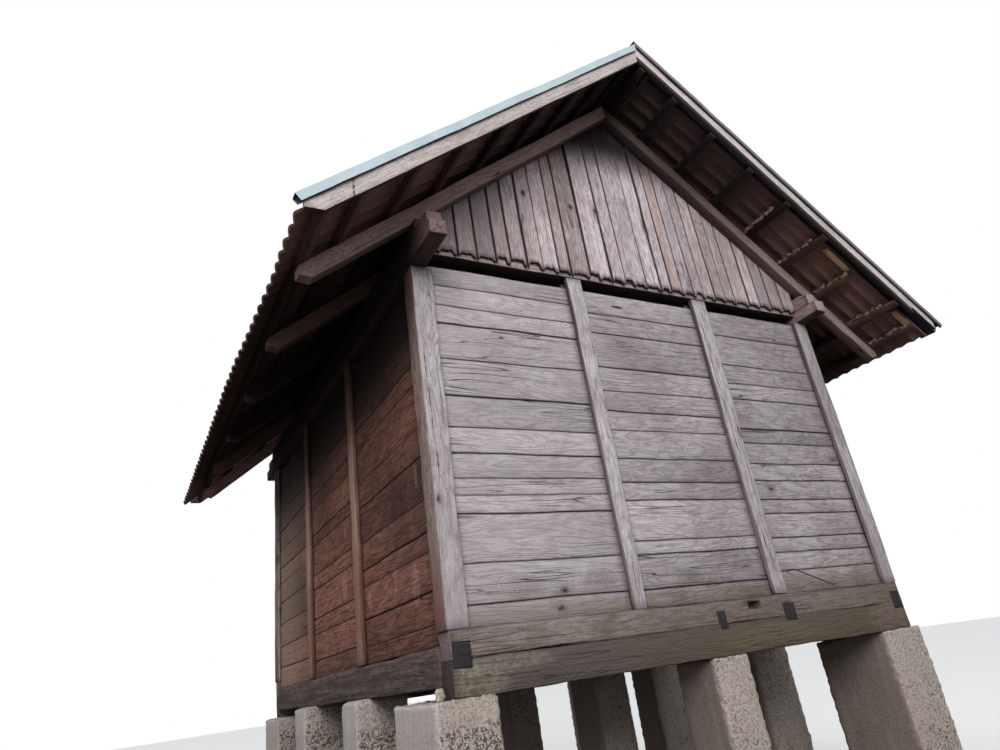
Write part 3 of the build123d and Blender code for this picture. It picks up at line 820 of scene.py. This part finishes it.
def markGrain(piece, seed, size, turn=Matrix.Identity(3), middle=Vector((0, 0, 0))):
    # the board's own coordinates, and its seed, half width and half length, for its material
    places = [value for vertex in piece.data.vertices for value in turn @ vertex.co - middle]
    attributes = piece.data.attributes
    attributes.new("grain", "FLOAT_VECTOR", "POINT").data.foreach_set("vector", places)
    attributes.new("board", "FLOAT_VECTOR", "POINT").data.foreach_set(
        "vector", [seed, size[1] / 2, size[0] / 2] * len(piece.data.vertices))


def makeBoard(size, seed, cuts, crossCuts, edge):
    bpy.ops.mesh.primitive_cube_add(size=1, scale=size)
    board = bpy.context.object
    applyTurn(scale=True)
    openPiece(board)
    selectEdges(board, runsAlong(0))
    bpy.ops.mesh.bevel(offset=edge, segments=2, affect="EDGES")
    for axis, count in enumerate((cuts, crossCuts)):
        bpy.ops.mesh.select_all(action="DESELECT")
        selectEdges(board, runsAlong(axis))
        bpy.ops.mesh.subdivide(number_cuts=count)
    closePiece()
    markGrain(board, seed, size)
    return board


# Plank walls. Joints are heights over the sills' underside, with the width of the open joint there

plankSettings = {
    "thickness": 0.036,
    "topSlot": 0.020,
    "cuts": (14, 2, 0.003),     # along, across, and the arris
    "lean": 0.012,
    "offset": 0.002,
    "inset": 0.018,             # of the planks' ends in the front walls' panels
    "groove": 0.018,            # depth of the side walls' grooves
    "studWidth": 0.110,
    "otherJoint": 0.035,        # how far the hidden walls' joints differ
    "uneven": ((0.30, 0.010, (1.4, 1, 0.5)), (0.07, 0.004, (2.5, 1, 1))),
    "frontBays": (
        ((0.362, 3), (0.536, 2), (0.763, 4), (0.852, 1), (0.934, 2), (1.057, 3), (1.190, 2), (1.358, 6),
         (1.563, 4), (1.767, 6), (1.872, 1), (1.997, 4)),
        ((0.358, 4), (0.530, 3), (0.601, 2), (0.815, 4), (0.916, 3), (1.049, 3), (1.218, 2), (1.330, 2),
         (1.455, 2), (1.604, 4), (1.827, 3), (1.960, 4)),
        ((0.394, 2), (0.495, 2), (0.581, 3), (0.725, 3), (0.810, 2), (0.929, 4), (1.038, 3), (1.171, 2),
         (1.268, 5), (1.470, 4), (1.581, 4), (1.714, 3), (1.933, 2)),
    ),
    "sideBays": (
        ((0.306, 1), (0.449, 7), (0.627, 1), (0.718, 5), (0.872, 1), (1.082, 5), (1.228, 1), (1.462, 4),
         (1.573, 4), (1.755, 2), (1.905, 3)),
        ((0.326, 4), (0.494, 1), (0.595, 4), (0.797, 1), (0.892, 4), (1.100, 1), (1.181, 4), (1.357, 1),
         (1.465, 2), (1.640, 4), (1.830, 2)),
        ((0.366, 4), (0.527, 1), (0.697, 2), (0.874, 4), (1.030, 1), (1.158, 4), (1.306, 1), (1.475, 4),
         (1.640, 2), (1.810, 3)),
    ),
}


def plankBay(start, stop, low, high, joints, draw):
    # planks one on the other between two grooves, on a plane at Y = 0, from start to stop along X
    settings = plankSettings
    levels = [(low - sillBottom, 0), *joints, (high - sillBottom, 0)]
    planks = []
    for (bottom, gapBelow), (top, gapAbove) in zip(levels, levels[1:]):
        lowEdge = sillBottom + bottom + gapBelow / 2000
        highEdge = sillBottom + top - gapAbove / 2000
        size = (stop - start, highEdge - lowEdge, settings["thickness"])
        plank = makeBoard(size, draw.random(), *settings["cuts"])
        lean = Matrix.Rotation(draw.uniform(-settings["lean"], settings["lean"]), 4, "X")
        offset = draw.uniform(-settings["offset"], settings["offset"])
        middle = ((start + stop) / 2, offset, (lowEdge + highEdge) / 2)
        placePiece(plank, Matrix.Translation(middle) @ lying @ lean)
        planks.append(plank)
    return planks


def otherJoints(joints, draw):
    # a hidden wall's planks: the same number, other widths
    differ = plankSettings["otherJoint"]
    return [(height + draw.uniform(-differ, differ), draw.choice((1, 2, 3, 4, 5))) for height, _ in joints]


def buildWall(name, edges, bays, depth, low, high, turn, material, draw):
    planks = []
    for (start, stop), joints in zip(edges, bays):
        planks += plankBay(start, stop, low, high, joints, draw)
    wall = joinPieces(planks, name + "_planks")
    roughenBy(wall, plankSettings["uneven"], draw)
    placePiece(wall, Matrix.Rotation(turn, 4, "Z") @ Matrix.Translation((0, -depth, 0)))
    finishPiece(wall, materials[material], material, name)


def buildWalls():
    settings = plankSettings
    draw = random.Random(11)
    slot, inset, groove = settings["topSlot"], settings["inset"], settings["groove"]
    panelEnds = sorted({round(vertex.co.x, 4) for vertex in frame["nodes"]["front_wall"].data.vertices})
    frontEdges = [(start + inset, stop - inset) for start, stop in zip(panelEnds[::2], panelEnds[1::2])]
    backEdges = [(-stop, -start) for start, stop in reversed(frontEdges)]
    studFar = -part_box("left_studs")[0].y
    studNear = studFar - settings["studWidth"]
    outerEnd = postInner + groove
    sideEdges = [(-outerEnd, groove - studFar), (-studNear - groove, studNear + groove),
                 (studFar - groove, outerEnd)]
    front = (-(wallLow.y + wallHigh.y) / 2, wallLow.z, wallHigh.z - slot)
    side = (-(sideWallLow.x + sideWallHigh.x) / 2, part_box("left_side_sill")[1].z, sideWallHigh.z - slot)
    # the left wall's boards run from the back to the front along the turned X
    leftBays = tuple(reversed(settings["sideBays"]))
    for name, edges, bays, hidden, place, turn, material in (
            ("front_wall", frontEdges, settings["frontBays"], False, front, 0.0, "front_planks"),
            ("back_wall", backEdges, settings["frontBays"], True, front, math.pi, "front_planks"),
            ("left_wall", sideEdges, leftBays, False, side, -math.pi / 2, "side_planks"),
            ("right_wall", sideEdges, settings["sideBays"], True, side, math.pi / 2, "side_planks")):
        if hidden:
            bays = [otherJoints(joints, draw) for joints in bays]
        buildWall(name, edges, bays, *place, turn, material, draw)


buildWalls()
print("plank walls built")


# Worn timbers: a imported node's timbers with rounded arrises, cut across and made uneven

slotOf = {part["node"]: part["material_slot"] for part in frame["record"]["subparts"]}
timberAxes = {                                      # along the grain, across the face, through
    "x": ((1, 0, 0), (0, 0, 1), (0, -1, 0)),
    "y": ((0, 1, 0), (0, 0, 1), (1, 0, 0)),
    "z": ((0, 0, 1), (1, 0, 0), (0, 1, 0)),
    "zSide": ((0, 0, 1), (0, 1, 0), (-1, 0, 0)),
    "rightSlope": (tuple(slopeAlong), tuple(slopeUp), (0, 1, 0)),
    "leftSlope": ((-slopeAlong.x, 0, slopeAlong.z), (-slopeUp.x, 0, slopeUp.z), (0, 1, 0)),
}

# Nodes, axes, length of the faces, arris, and how coarsely and finely uneven
timberSettings = (
    ("front_lower_sill", "x", 0.06, 0.008, 0.018, 0.006),
    ("front_upper_sill", "x", 0.06, 0.007, 0.016, 0.006),
    ("back_lower_sill", "x", 0.12, 0.008, 0.018, 0.006),
    ("back_upper_sill", "x", 0.12, 0.007, 0.016, 0.006),
    ("left_side_sill", "y", 0.08, 0.010, 0.022, 0.007),
    ("right_side_sill", "y", 0.12, 0.010, 0.022, 0.007),
    ("floor_joists", "y", 0.20, 0.006, 0.016, 0.005),
    ("floor_boards", "x", 0.25, 0.003, 0.006, 0.003),
    ("front_left_post front_right_post", "z", 0.07, 0.006, 0.014, 0.005),
    ("back_left_post back_right_post", "z", 0.14, 0.006, 0.014, 0.005),
    ("front_studs", "z", 0.07, 0.006, 0.016, 0.005),
    ("back_studs", "z", 0.14, 0.006, 0.016, 0.005),
    ("left_studs", "zSide", 0.08, 0.010, 0.016, 0.005),
    ("right_studs", "zSide", 0.14, 0.010, 0.016, 0.005),
    ("left_lower_plate right_lower_plate", "y", 0.10, 0.007, 0.014, 0.006),
    ("left_upper_plate right_upper_plate", "y", 0.20, 0.007, 0.014, 0.005),
    ("front_tie_beam", "x", 0.07, 0.008, 0.010, 0.005),
    ("back_tie_beam", "x", 0.14, 0.008, 0.010, 0.005),
    ("left_rafters", "leftSlope", 0.12, 0.006, 0.014, 0.005),
    ("right_rafters", "rightSlope", 0.12, 0.006, 0.014, 0.005),
    ("left_battens right_battens", "y", 0.16, 0.004, 0.012, 0.004),
    ("front_left_barge_board", "leftSlope", 0.07, 0.003, 0.008, 0.003),
    ("front_right_barge_board", "rightSlope", 0.07, 0.003, 0.008, 0.003),
    ("back_left_barge_board", "leftSlope", 0.14, 0.003, 0.008, 0.003),
    ("back_right_barge_board", "rightSlope", 0.14, 0.003, 0.008, 0.003),
)
unevenSizes = (0.45, 0.08)
shortBattens = ((2.130, -2.150), (2.720, -2.205))       # place down the right slope, and Y of the front end
shortenFrom = -2.0


def copyNode(node, name):
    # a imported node's mesh, its loose triangles merged into whole faces
    copy = bpy.data.objects.new(name, frame["nodes"][node].data.copy())
    bpy.context.scene.collection.objects.link(copy)
    copy.data.materials.clear()
    openPiece(copy, "VERT")
    bpy.ops.mesh.select_all(action="SELECT")
    bpy.ops.mesh.remove_doubles(threshold=0.0002)
    bpy.ops.mesh.dissolve_limited(angle_limit=math.radians(1))
    closePiece()
    return copy


def looseParts(piece):
    openPiece(piece)
    bpy.ops.mesh.select_all(action="SELECT")
    bpy.ops.mesh.separate(type="LOOSE")
    closePiece()
    return list(bpy.context.selected_objects)


def cutAcross(way, low, high, count):
    step = (high - low) / count
    for index in range(1, count):
        bpy.ops.mesh.select_all(action="SELECT")
        bpy.ops.mesh.bisect(plane_co=way * (low + index * step), plane_no=way)


def wearTimber(part, axes, spacing, edge, seed):
    toBoard = Matrix(timberAxes[axes])
    places = [toBoard @ vertex.co for vertex in part.data.vertices]
    low = Vector([min(place[axis] for place in places) for axis in range(3)])
    high = Vector([max(place[axis] for place in places) for axis in range(3)])
    openPiece(part)
    bpy.ops.mesh.edges_select_sharp(sharpness=math.radians(30))
    bpy.ops.mesh.bevel(offset=edge, segments=2, affect="EDGES", clamp_overlap=True)
    cutAcross(toBoard[0], low.x, high.x, max(2, round((high.x - low.x) / spacing)))
    cutAcross(toBoard[1], low.y, high.y, 2)
    closePiece()
    markGrain(part, seed, high - low, toBoard, (low + high) / 2)
    return part


def shortenBattens(battens):
    for vertex in battens.data.vertices:
        fromRidge = vertex.co - Vector((0, 0, gableHigh.z))
        for place, end in shortBattens:
            if abs(fromRidge.dot(slopeAlong) - place) < 0.05 and vertex.co.y < shortenFrom:
                share = (end - shortenFrom) / (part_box("right_battens")[0].y - shortenFrom)
                vertex.co.y = shortenFrom + (vertex.co.y - shortenFrom) * share


def buildTimbers():
    draw = random.Random(23)
    rows = [(node, *row) for names, *row in timberSettings for node in names.split()]
    for node, axes, spacing, edge, *uneven in rows:
        parts = looseParts(copyNode(node, node + "_part"))
        parts = sorted(parts, key=lambda part: tuple(round(value, 3) for value in part.bound_box[0]))
        parts = [wearTimber(part, axes, spacing, edge, draw.random()) for part in parts]
        timbers = joinPieces(parts, node + "_timber")
        roughenBy(timbers, zip(unevenSizes, uneven), draw)
        finishPiece(timbers, materials[finishOf.get(node, slotOf[node])], slotOf[node], node)
        if node == "right_battens":
            shortenBattens(timbers)


buildTimbers()
print("worn timbers built")


# Gable boarding: upright boards, their feet cut in arches with a tooth between each two

gableSettings = {
    "thickness": 0.020,
    "faceLength": 0.085,
    "cuts": (15, 0.0025),       # across, and the arris
    "twist": 0.02,
    "lean": 0.006,
    "offset": 0.003,
    "uneven": ((0.25, 0.007, (1, 1, 2.5)),),
    "joints": (
        (-1.268, 5), (-1.150, 5), (-1.032, 5), (-0.936, 5), (-0.827, 8), (-0.716, 2), (-0.604, 1),
        (-0.520, 7), (-0.378, 10), (-0.218, 3), (-0.112, 2), (0.062, 1), (0.180, 5), (0.268, 4),
        (0.365, 1), (0.462, 1), (0.555, 2), (0.660, 1), (0.756, 4), (0.850, 2), (0.992, 5), (1.100, 4),
        (1.215, 2), (1.340, 1)),
    "gapScale": 1.5,
    "teeth": (
        -1.50, -1.385, -1.275, -1.154, -1.032, -0.951, -0.829, -0.720, -0.618, -0.520, -0.393, -0.300, -0.218,
        -0.125, -0.034, 0.057, 0.180, 0.258, 0.374, 0.478, 0.562, 0.652, 0.749, 0.851, 0.979, 1.083, 1.195,
        1.320, 1.42, 1.50),
    "archRise": 0.019,
    "brokenRise": 0.036,
    "broken": (4, 5, 6, 10, 13, 19),    # notches, counted from the left, that have rotted further up
    "flank": 0.20,              # of a notch's width, on each side
    "ragged": 0.006,
}


def archRise(x, settings):
    teeth, flank = settings["teeth"], settings["flank"]
    for index, (left, right) in enumerate(zip(teeth, teeth[1:])):
        if left <= x < right:
            rise = settings["brokenRise" if index in settings["broken"] else "archRise"]
            share = (x - left) / (right - left)
            return rise * max(0.0, min(1.0, (min(share, 1 - share) - flank / 2) * 2 / flank))
    return 0.0


def buildGable(node, turn, draw):
    settings = gableSettings
    apex = gableHigh.z
    edges = [(gableLow.x, 0), *settings["joints"], (gableHigh.x, 0)]
    boards = []
    for (left, leftGap), (right, rightGap) in zip(edges, edges[1:]):
        low = left + leftGap * settings["gapScale"] / 2000
        high = right - rightGap * settings["gapScale"] / 2000
        inner = 0.0 if low < 0 < high else min(abs(low), abs(high))
        length = apex - inner * math.tan(roofPitch) + 0.01 - gableLow.z
        rows = max(2, round(length / settings["faceLength"]))
        board = makeBoard((length, high - low, settings["thickness"]), draw.random(), rows - 1,
                          *settings["cuts"])
        twist = Matrix.Rotation(draw.uniform(-settings["twist"], settings["twist"]), 4, "X")
        lean = Matrix.Rotation(draw.uniform(-settings["lean"], settings["lean"]), 4, "Z")
        depth = (gableLow.y + gableHigh.y) / 2 + draw.uniform(-settings["offset"], settings["offset"])
        middle = ((low + high) / 2, depth, gableLow.z + length / 2)
        placePiece(board, Matrix.Translation(middle) @ standing @ twist @ lean)
        ragged = {}
        for vertex in board.data.vertices:
            if vertex.co.z < gableLow.z + 0.004:
                rise = archRise(vertex.co.x, settings)
                torn = ragged.setdefault(round(vertex.co.x, 3), draw.uniform(-1, 1))
                vertex.co.z += rise + torn * settings["ragged"] * (1.0 if rise else 0.4)
        boards.append(board)
    gable = joinPieces(boards, node + "_boards")
    openPiece(gable)
    for side in (-1, 1):
        bpy.ops.mesh.select_all(action="SELECT")
        bpy.ops.mesh.bisect(plane_co=(0, 0, apex - 0.012), plane_no=(side * slopeUp.x, 0, slopeUp.z),
                            clear_outer=True, use_fill=True)
    closePiece()
    roughenBy(gable, settings["uneven"], draw)
    placePiece(gable, Matrix.Rotation(turn, 4, "Z"))
    finishPiece(gable, materials["gable_boards"], "gable_boards", node)


gableDraw = random.Random(31)
buildGable("front_gable", 0.0, gableDraw)
buildGable("back_gable", math.pi, gableDraw)
print("gable boards built")


# Clay tiles with two rolls each, in courses from the eave up

tileSettings = {
    "pitch": 0.195,         # from tile to tile along the eave
    "rollHeight": 0.019,
    "thickness": 0.012,
    "length": 0.415,
    "gauge": 0.355,
    "courses": 7,
    "eaveEnd": 2.860,       # down the slope from the ridge
    "ridgeCourseEnd": 0.440,
    "underside": 0.042,     # over the rafters, at a tile's upper end
    "lift": 0.0115,         # a tile's lower end lies on the course below
    "lap": 0.004,           # over the tile beside it
    "drawnUp": 0.050,       # of the left eave at its front end
    "drawnFrom": 1.70,
    "slip": (0.004, 0.001, 0.001),
    "uneven": ((1.2, 0.016),),
}


def slopeFrame(side):
    # X down the slope, Y along the eave, Z off the rafters
    turn = Matrix.Rotation(0 if side > 0 else math.pi, 4, "Z")
    return turn @ Matrix.Translation((0, 0, gableHigh.z)) @ Matrix.Rotation(roofPitch, 4, "Y")


def makeTile(width, settings):
    # one tile: two rolls side by side, its lower end lifted
    bpy.ops.mesh.primitive_grid_add(x_subdivisions=1, y_subdivisions=12, size=1)
    tile = bpy.context.object
    tile.scale = (settings["length"], width, 1)
    applyTurn(scale=True)
    step = width / 12
    openPiece(tile, "VERT")
    for offsets, share in (((1, 5), 0.5), ((2, 4), 0.88), ((3,), 1.0)):
        places = [(offset + roll - 6) * step for offset in offsets for roll in (0, 6)]
        bpy.ops.mesh.select_all(action="DESELECT")
        selectVerts(tile, lambda co: min(abs(co.y - place) for place in places) < step / 4)
        bpy.ops.transform.translate(value=(0, 0, share * settings["rollHeight"]))
    bpy.ops.mesh.select_all(action="DESELECT")
    selectVerts(tile, lambda co: co.x > 0)
    bpy.ops.transform.translate(value=(0, 0, settings["lift"]))
    closePiece()
    applyModifier(tile, "SOLIDIFY", thickness=settings["thickness"], offset=-1)
    markGrain(tile, 0.5, (settings["length"], width, settings["thickness"]))
    return tile


def drawUpEave(vertices, settings):
    # the left eave climbs towards the front
    rows = settings["eaveEnd"] - settings["ridgeCourseEnd"]
    for vertex in vertices:
        share = min(1.0, max(0.0, vertex.co.y / settings["drawnFrom"])) ** 2
        reach = (vertex.co.x - settings["ridgeCourseEnd"]) / rows
        vertex.co.x -= settings["drawnUp"] * share * max(0.0, reach)


def buildTiles(side, node, draw):
    settings = tileSettings
    low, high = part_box(node)
    across = round((high.y - low.y) / settings["pitch"])
    width = (high.y - low.y) / across
    tile = makeTile(width + settings["lap"], settings)
    tileVerts = len(tile.data.vertices)
    placePiece(tile, Matrix.Translation((settings["eaveEnd"] - settings["length"] / 2, low.y + width / 2,
                                         settings["underside"] + settings["thickness"])))
    repeatPiece(tile, across, (0, width, 0))
    ridgeRow = bpy.data.objects.new("ridgeRow", tile.data.copy())
    bpy.context.scene.collection.objects.link(ridgeRow)
    repeatPiece(tile, settings["courses"], (-settings["gauge"], 0, 0))
    placePiece(ridgeRow, Matrix.Translation((settings["ridgeCourseEnd"] - settings["eaveEnd"], 0, 0)))
    tiles = joinPieces([tile, ridgeRow], node + "_courses")
    vertices = tiles.data.vertices
    for first in range(0, len(vertices), tileVerts):
        slip = Vector([draw.uniform(-reach, reach) for reach in settings["slip"]])
        for vertex in vertices[first:first + tileVerts]:
            vertex.co += slip
    if side < 0:
        drawUpEave(vertices, settings)
    placePiece(tiles, slopeFrame(side))
    roughenBy(tiles, settings["uneven"], draw)
    finishPiece(tiles, materials["tile_clay"], "tile_clay", node, smooth=50)


tileDraw = random.Random(47)
buildTiles(1, "right_tiles", tileDraw)
buildTiles(-1, "left_tiles", tileDraw)
print("tiles laid")


# Ridge tiles, each lapped by the next

ridgeSettings = {"count": 12, "radius": 0.126, "thickness": 0.014, "lap": 0.05, "flare": 1.06, "foot": -0.046,
                 "uneven": (0.5, 0.008)}


def buildRidge(node):
    settings = ridgeSettings
    low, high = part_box(node)
    pitch = (high.y - low.y) / settings["count"]
    length = pitch + settings["lap"]
    bpy.ops.mesh.primitive_cylinder_add(vertices=36, radius=settings["radius"], depth=length,
                                        end_fill_type="NOTHING", rotation=(math.radians(90), 0, 0))
    tile = bpy.context.object
    applyTurn(rotation=True)
    openPiece(tile, "VERT")
    selectVerts(tile, lambda co: co.z < settings["foot"])
    bpy.ops.mesh.delete(type="VERT")
    selectVerts(tile, lambda co: co.y < 0)
    bpy.ops.transform.resize(value=(settings["flare"], 1, settings["flare"]), center_override=(0, 0, 0))
    bpy.ops.mesh.select_all(action="SELECT")
    bpy.ops.mesh.subdivide(number_cuts=1)
    closePiece()
    applyModifier(tile, "SOLIDIFY", thickness=settings["thickness"], offset=-1)
    markGrain(tile, 0.5, (1, 1, 1))
    placePiece(tile, Matrix.Translation((0, low.y + length / 2, high.z - high.x)))
    repeatPiece(tile, settings["count"], (0, (high.y - low.y - length) / (settings["count"] - 1), 0))
    roughen(tile, *settings["uneven"], shift=3.1)
    tile.name = node + "_lapped"
    finishPiece(tile, materials["tile_clay"], "tile_clay", node, smooth=50)


buildRidge("ridge_tiles")
print("ridge laid")


# Verge flashings: thin sheet, a little wavy between its fixings

flashingSettings = {"spacing": 0.06, "length": 3.0, "uneven": ((0.35, 0.007), (0.09, 0.003))}


def buildFlashing(node, draw):
    settings = flashingSettings
    sheet = copyNode(node, node + "_sheet")
    openPiece(sheet)
    for side in (-1, 1):
        way = Vector((side * slopeAlong.x, 0, slopeAlong.z))
        for index in range(int(settings["length"] / settings["spacing"])):
            mesh = bmesh.from_edit_mesh(sheet.data)
            bpy.ops.mesh.select_all(action="DESELECT")
            for face in mesh.faces:
                face.select_set(side * face.calc_center_median().x > 0)
            bmesh.update_edit_mesh(sheet.data)
            place = Vector((0, 0, gableHigh.z)) + way * (index * settings["spacing"])
            bpy.ops.mesh.bisect(plane_co=place, plane_no=way)
    closePiece()
    roughenBy(sheet, settings["uneven"], draw)
    finishPiece(sheet, materials["flashing_metal"], "flashing_metal", node, smooth=40)


sheetDraw = random.Random(83)
buildFlashing("front_flashing", sheetDraw)
buildFlashing("back_flashing", sheetDraw)
print("flashings bent")


# Concrete piers, their arrises broken and their faces pitted

pierSettings = {
    "grids": (          # the size of the faces of each row
        ("front_piers", 0.010), ("second_row_piers", 0.022), ("third_row_piers", 0.028),
        ("back_piers", 0.022)),
    "topEdge": 0.028,
    "arris": 0.008,
    "uneven": ((0.35, 0.007), (0.030, 0.020, (1, 1, 1), "arris"), (0.02, 0.0012)),
    "flat": 0.985,      # a vertex's normal closer to an axis than this is on a face
    "wornTop": {"middle": (1.27, -1.36), "reach": 0.17, "depth": 0.030, "from": 0.9, "node": "front_piers"},
}


def markArrises(piece):
    # a vertex group of the worn corners, where the surface faces no one way
    group = piece.vertex_groups.new(name="arris")
    for vertex in piece.data.vertices:
        skew = pierSettings["flat"] - max(abs(value) for value in vertex.normal)
        if skew > 0:
            group.add([vertex.index], min(1.0, skew / 0.15), "REPLACE")


def buildPiers(node, grid, draw):
    settings = pierSettings
    piers = copyNode(node, node + "_cast")
    openPiece(piers)
    sideEdge = runsAlong(1)
    selectEdges(piers, lambda edge: sideEdge(edge) and edge.verts[0].co.z > sillBottom / 2)
    bpy.ops.mesh.bevel(offset=settings["topEdge"], segments=4, affect="EDGES", clamp_overlap=True)
    bpy.ops.mesh.select_all(action="DESELECT")
    bpy.ops.mesh.edges_select_sharp(sharpness=math.radians(30))
    bpy.ops.mesh.bevel(offset=settings["arris"], segments=3, affect="EDGES", clamp_overlap=True)
    closePiece()
    applyModifier(piers, "REMESH", mode="VOXEL", voxel_size=grid)
    markArrises(piers)
    roughenBy(piers, settings["uneven"], draw)
    wornAndLit = settings["wornTop"]
    for vertex in piers.data.vertices:
        away = math.dist(vertex.co.xy, wornAndLit["middle"]) / wornAndLit["reach"]
        if node == wornAndLit["node"] and away < 1:
            vertex.co.z -= wornAndLit["depth"] * (1 - away) * max(0.0, vertex.co.z - wornAndLit["from"]) / 0.1
        vertex.co.z = max(0.0, vertex.co.z)
    finishPiece(piers, materials["concrete"], "concrete", node, smooth=60)


pierDraw = random.Random(59)
for pierNode, pierGrid in pierSettings["grids"]:
    buildPiers(pierNode, pierGrid, pierDraw)
print("piers cast")


# Small things: packing strips and mortar at the right verge, mortar at the corner, a bent rod

stripSettings = {       # start and stop down the slope from the ridge
    "strips": ((1.85, 2.09), (2.54, 2.72)),
    "outer": -2.196, "inner": -2.150, "thickness": 0.012, "off": 0.034,
    "cuts": (14, 2, 0.002),
    "uneven": (0.03, 0.008),
}
lumpSettings = {
    "lines": (1.383, 1.738, 2.093, 2.448, 2.684),   # down the slope from the ridge, just over each batten
    "perLine": 10, "outer": -2.16, "inner": -1.86, "off": 0.020,
    "size": (0.020, 0.026, 0.016),
    "spread": (0.008, 0.004),   # along the slope, and off it
    "uneven": (0.02, 0.016),
}
cornerSettings = {"place": (-1.572, -1.700, 1.022), "size": (0.018, 0.022, 0.030), "uneven": (0.02, 0.020)}
rodSettings = {
    "bends": ((0.627, -1.750, 1.395), (0.639, -1.800, 1.389), (0.944, -1.790, 1.285)),
    "radius": 0.0035,
}


def buildStrips(settings, draw):
    strips = []
    inner, outer = settings["inner"], settings["outer"]
    for start, stop in settings["strips"]:
        size = (stop - start, inner - outer, settings["thickness"])
        strip = makeBoard(size, draw.random(), *settings["cuts"])
        middle = ((start + stop) / 2, (inner + outer) / 2, settings["off"])
        placePiece(strip, slopeFrame(1) @ Matrix.Translation(middle))
        strips.append(strip)
    packing = joinPieces(strips, "vergePacking")
    roughen(packing, *settings["uneven"], shift=4.4)
    finishPiece(packing, materials["packing_wood"], "batten_wood")


def buildLumps(settings, draw):
    # broken mortar left on the battens near the right verge
    lumps = []
    along, off = settings["spread"]
    step = (settings["inner"] - settings["outer"]) / settings["perLine"]
    for line in settings["lines"]:
        for index in range(settings["perLine"]):
            bpy.ops.mesh.primitive_ico_sphere_add(subdivisions=2, radius=1)
            lump = bpy.context.object
            place = (line + draw.uniform(-along, along), settings["outer"] + step * (index + draw.random()),
                     settings["off"] + draw.uniform(-off, off))
            size = [value * draw.uniform(0.5, 1.2) for value in settings["size"]]
            markGrain(lump, draw.random(), (1, 1, 1))
            placePiece(lump, slopeFrame(1) @ Matrix.Translation(place) @ Matrix.Diagonal((*size, 1)))
            lumps.append(lump)
    mortar = joinPieces(lumps, "vergeMortar")
    roughen(mortar, *settings["uneven"], shift=2.7)
    finishPiece(mortar, materials["mortar"], "tile_clay", smooth=30)


def buildCornerMortar(settings):
    bpy.ops.mesh.primitive_ico_sphere_add(subdivisions=4, radius=1)
    lump = bpy.context.object
    placePiece(lump, Matrix.Translation(settings["place"]) @ Matrix.Diagonal((*settings["size"], 1)))
    lump.name = "cornerMortar"
    roughen(lump, *settings["uneven"], shift=6.1)
    finishPiece(lump, materials["concrete"], "concrete")


def buildRod(settings):
    pieces = []
    bends = [Vector(place) for place in settings["bends"]]
    for start, stop in zip(bends, bends[1:]):
        way = stop - start
        bpy.ops.mesh.primitive_cylinder_add(vertices=10, radius=settings["radius"], depth=way.length)
        turn = way.to_track_quat("Z", "Y").to_matrix().to_4x4()
        placePiece(bpy.context.object, Matrix.Translation((start + stop) / 2) @ turn)
        pieces.append(bpy.context.object)
    bpy.ops.mesh.primitive_uv_sphere_add(segments=10, ring_count=6, radius=settings["radius"],
                                         location=bends[1])
    applyTurn(location=True)
    pieces.append(bpy.context.object)
    finishPiece(joinPieces(pieces, "bentRod"), ironMaterial(), "flashing_metal")


detailDraw = random.Random(71)
buildStrips(stripSettings, detailDraw)
buildLumps(lumpSettings, detailDraw)
buildCornerMortar(cornerSettings)
buildRod(rodSettings)
print("small pieces made")

for node, slotName in slotOf.items():
    cad = frame["nodes"][node]
    cad.data.materials.clear()
    cad.data.materials.append(materials[slotName])
print("materials on", len(frame["nodes"]), "nodes")
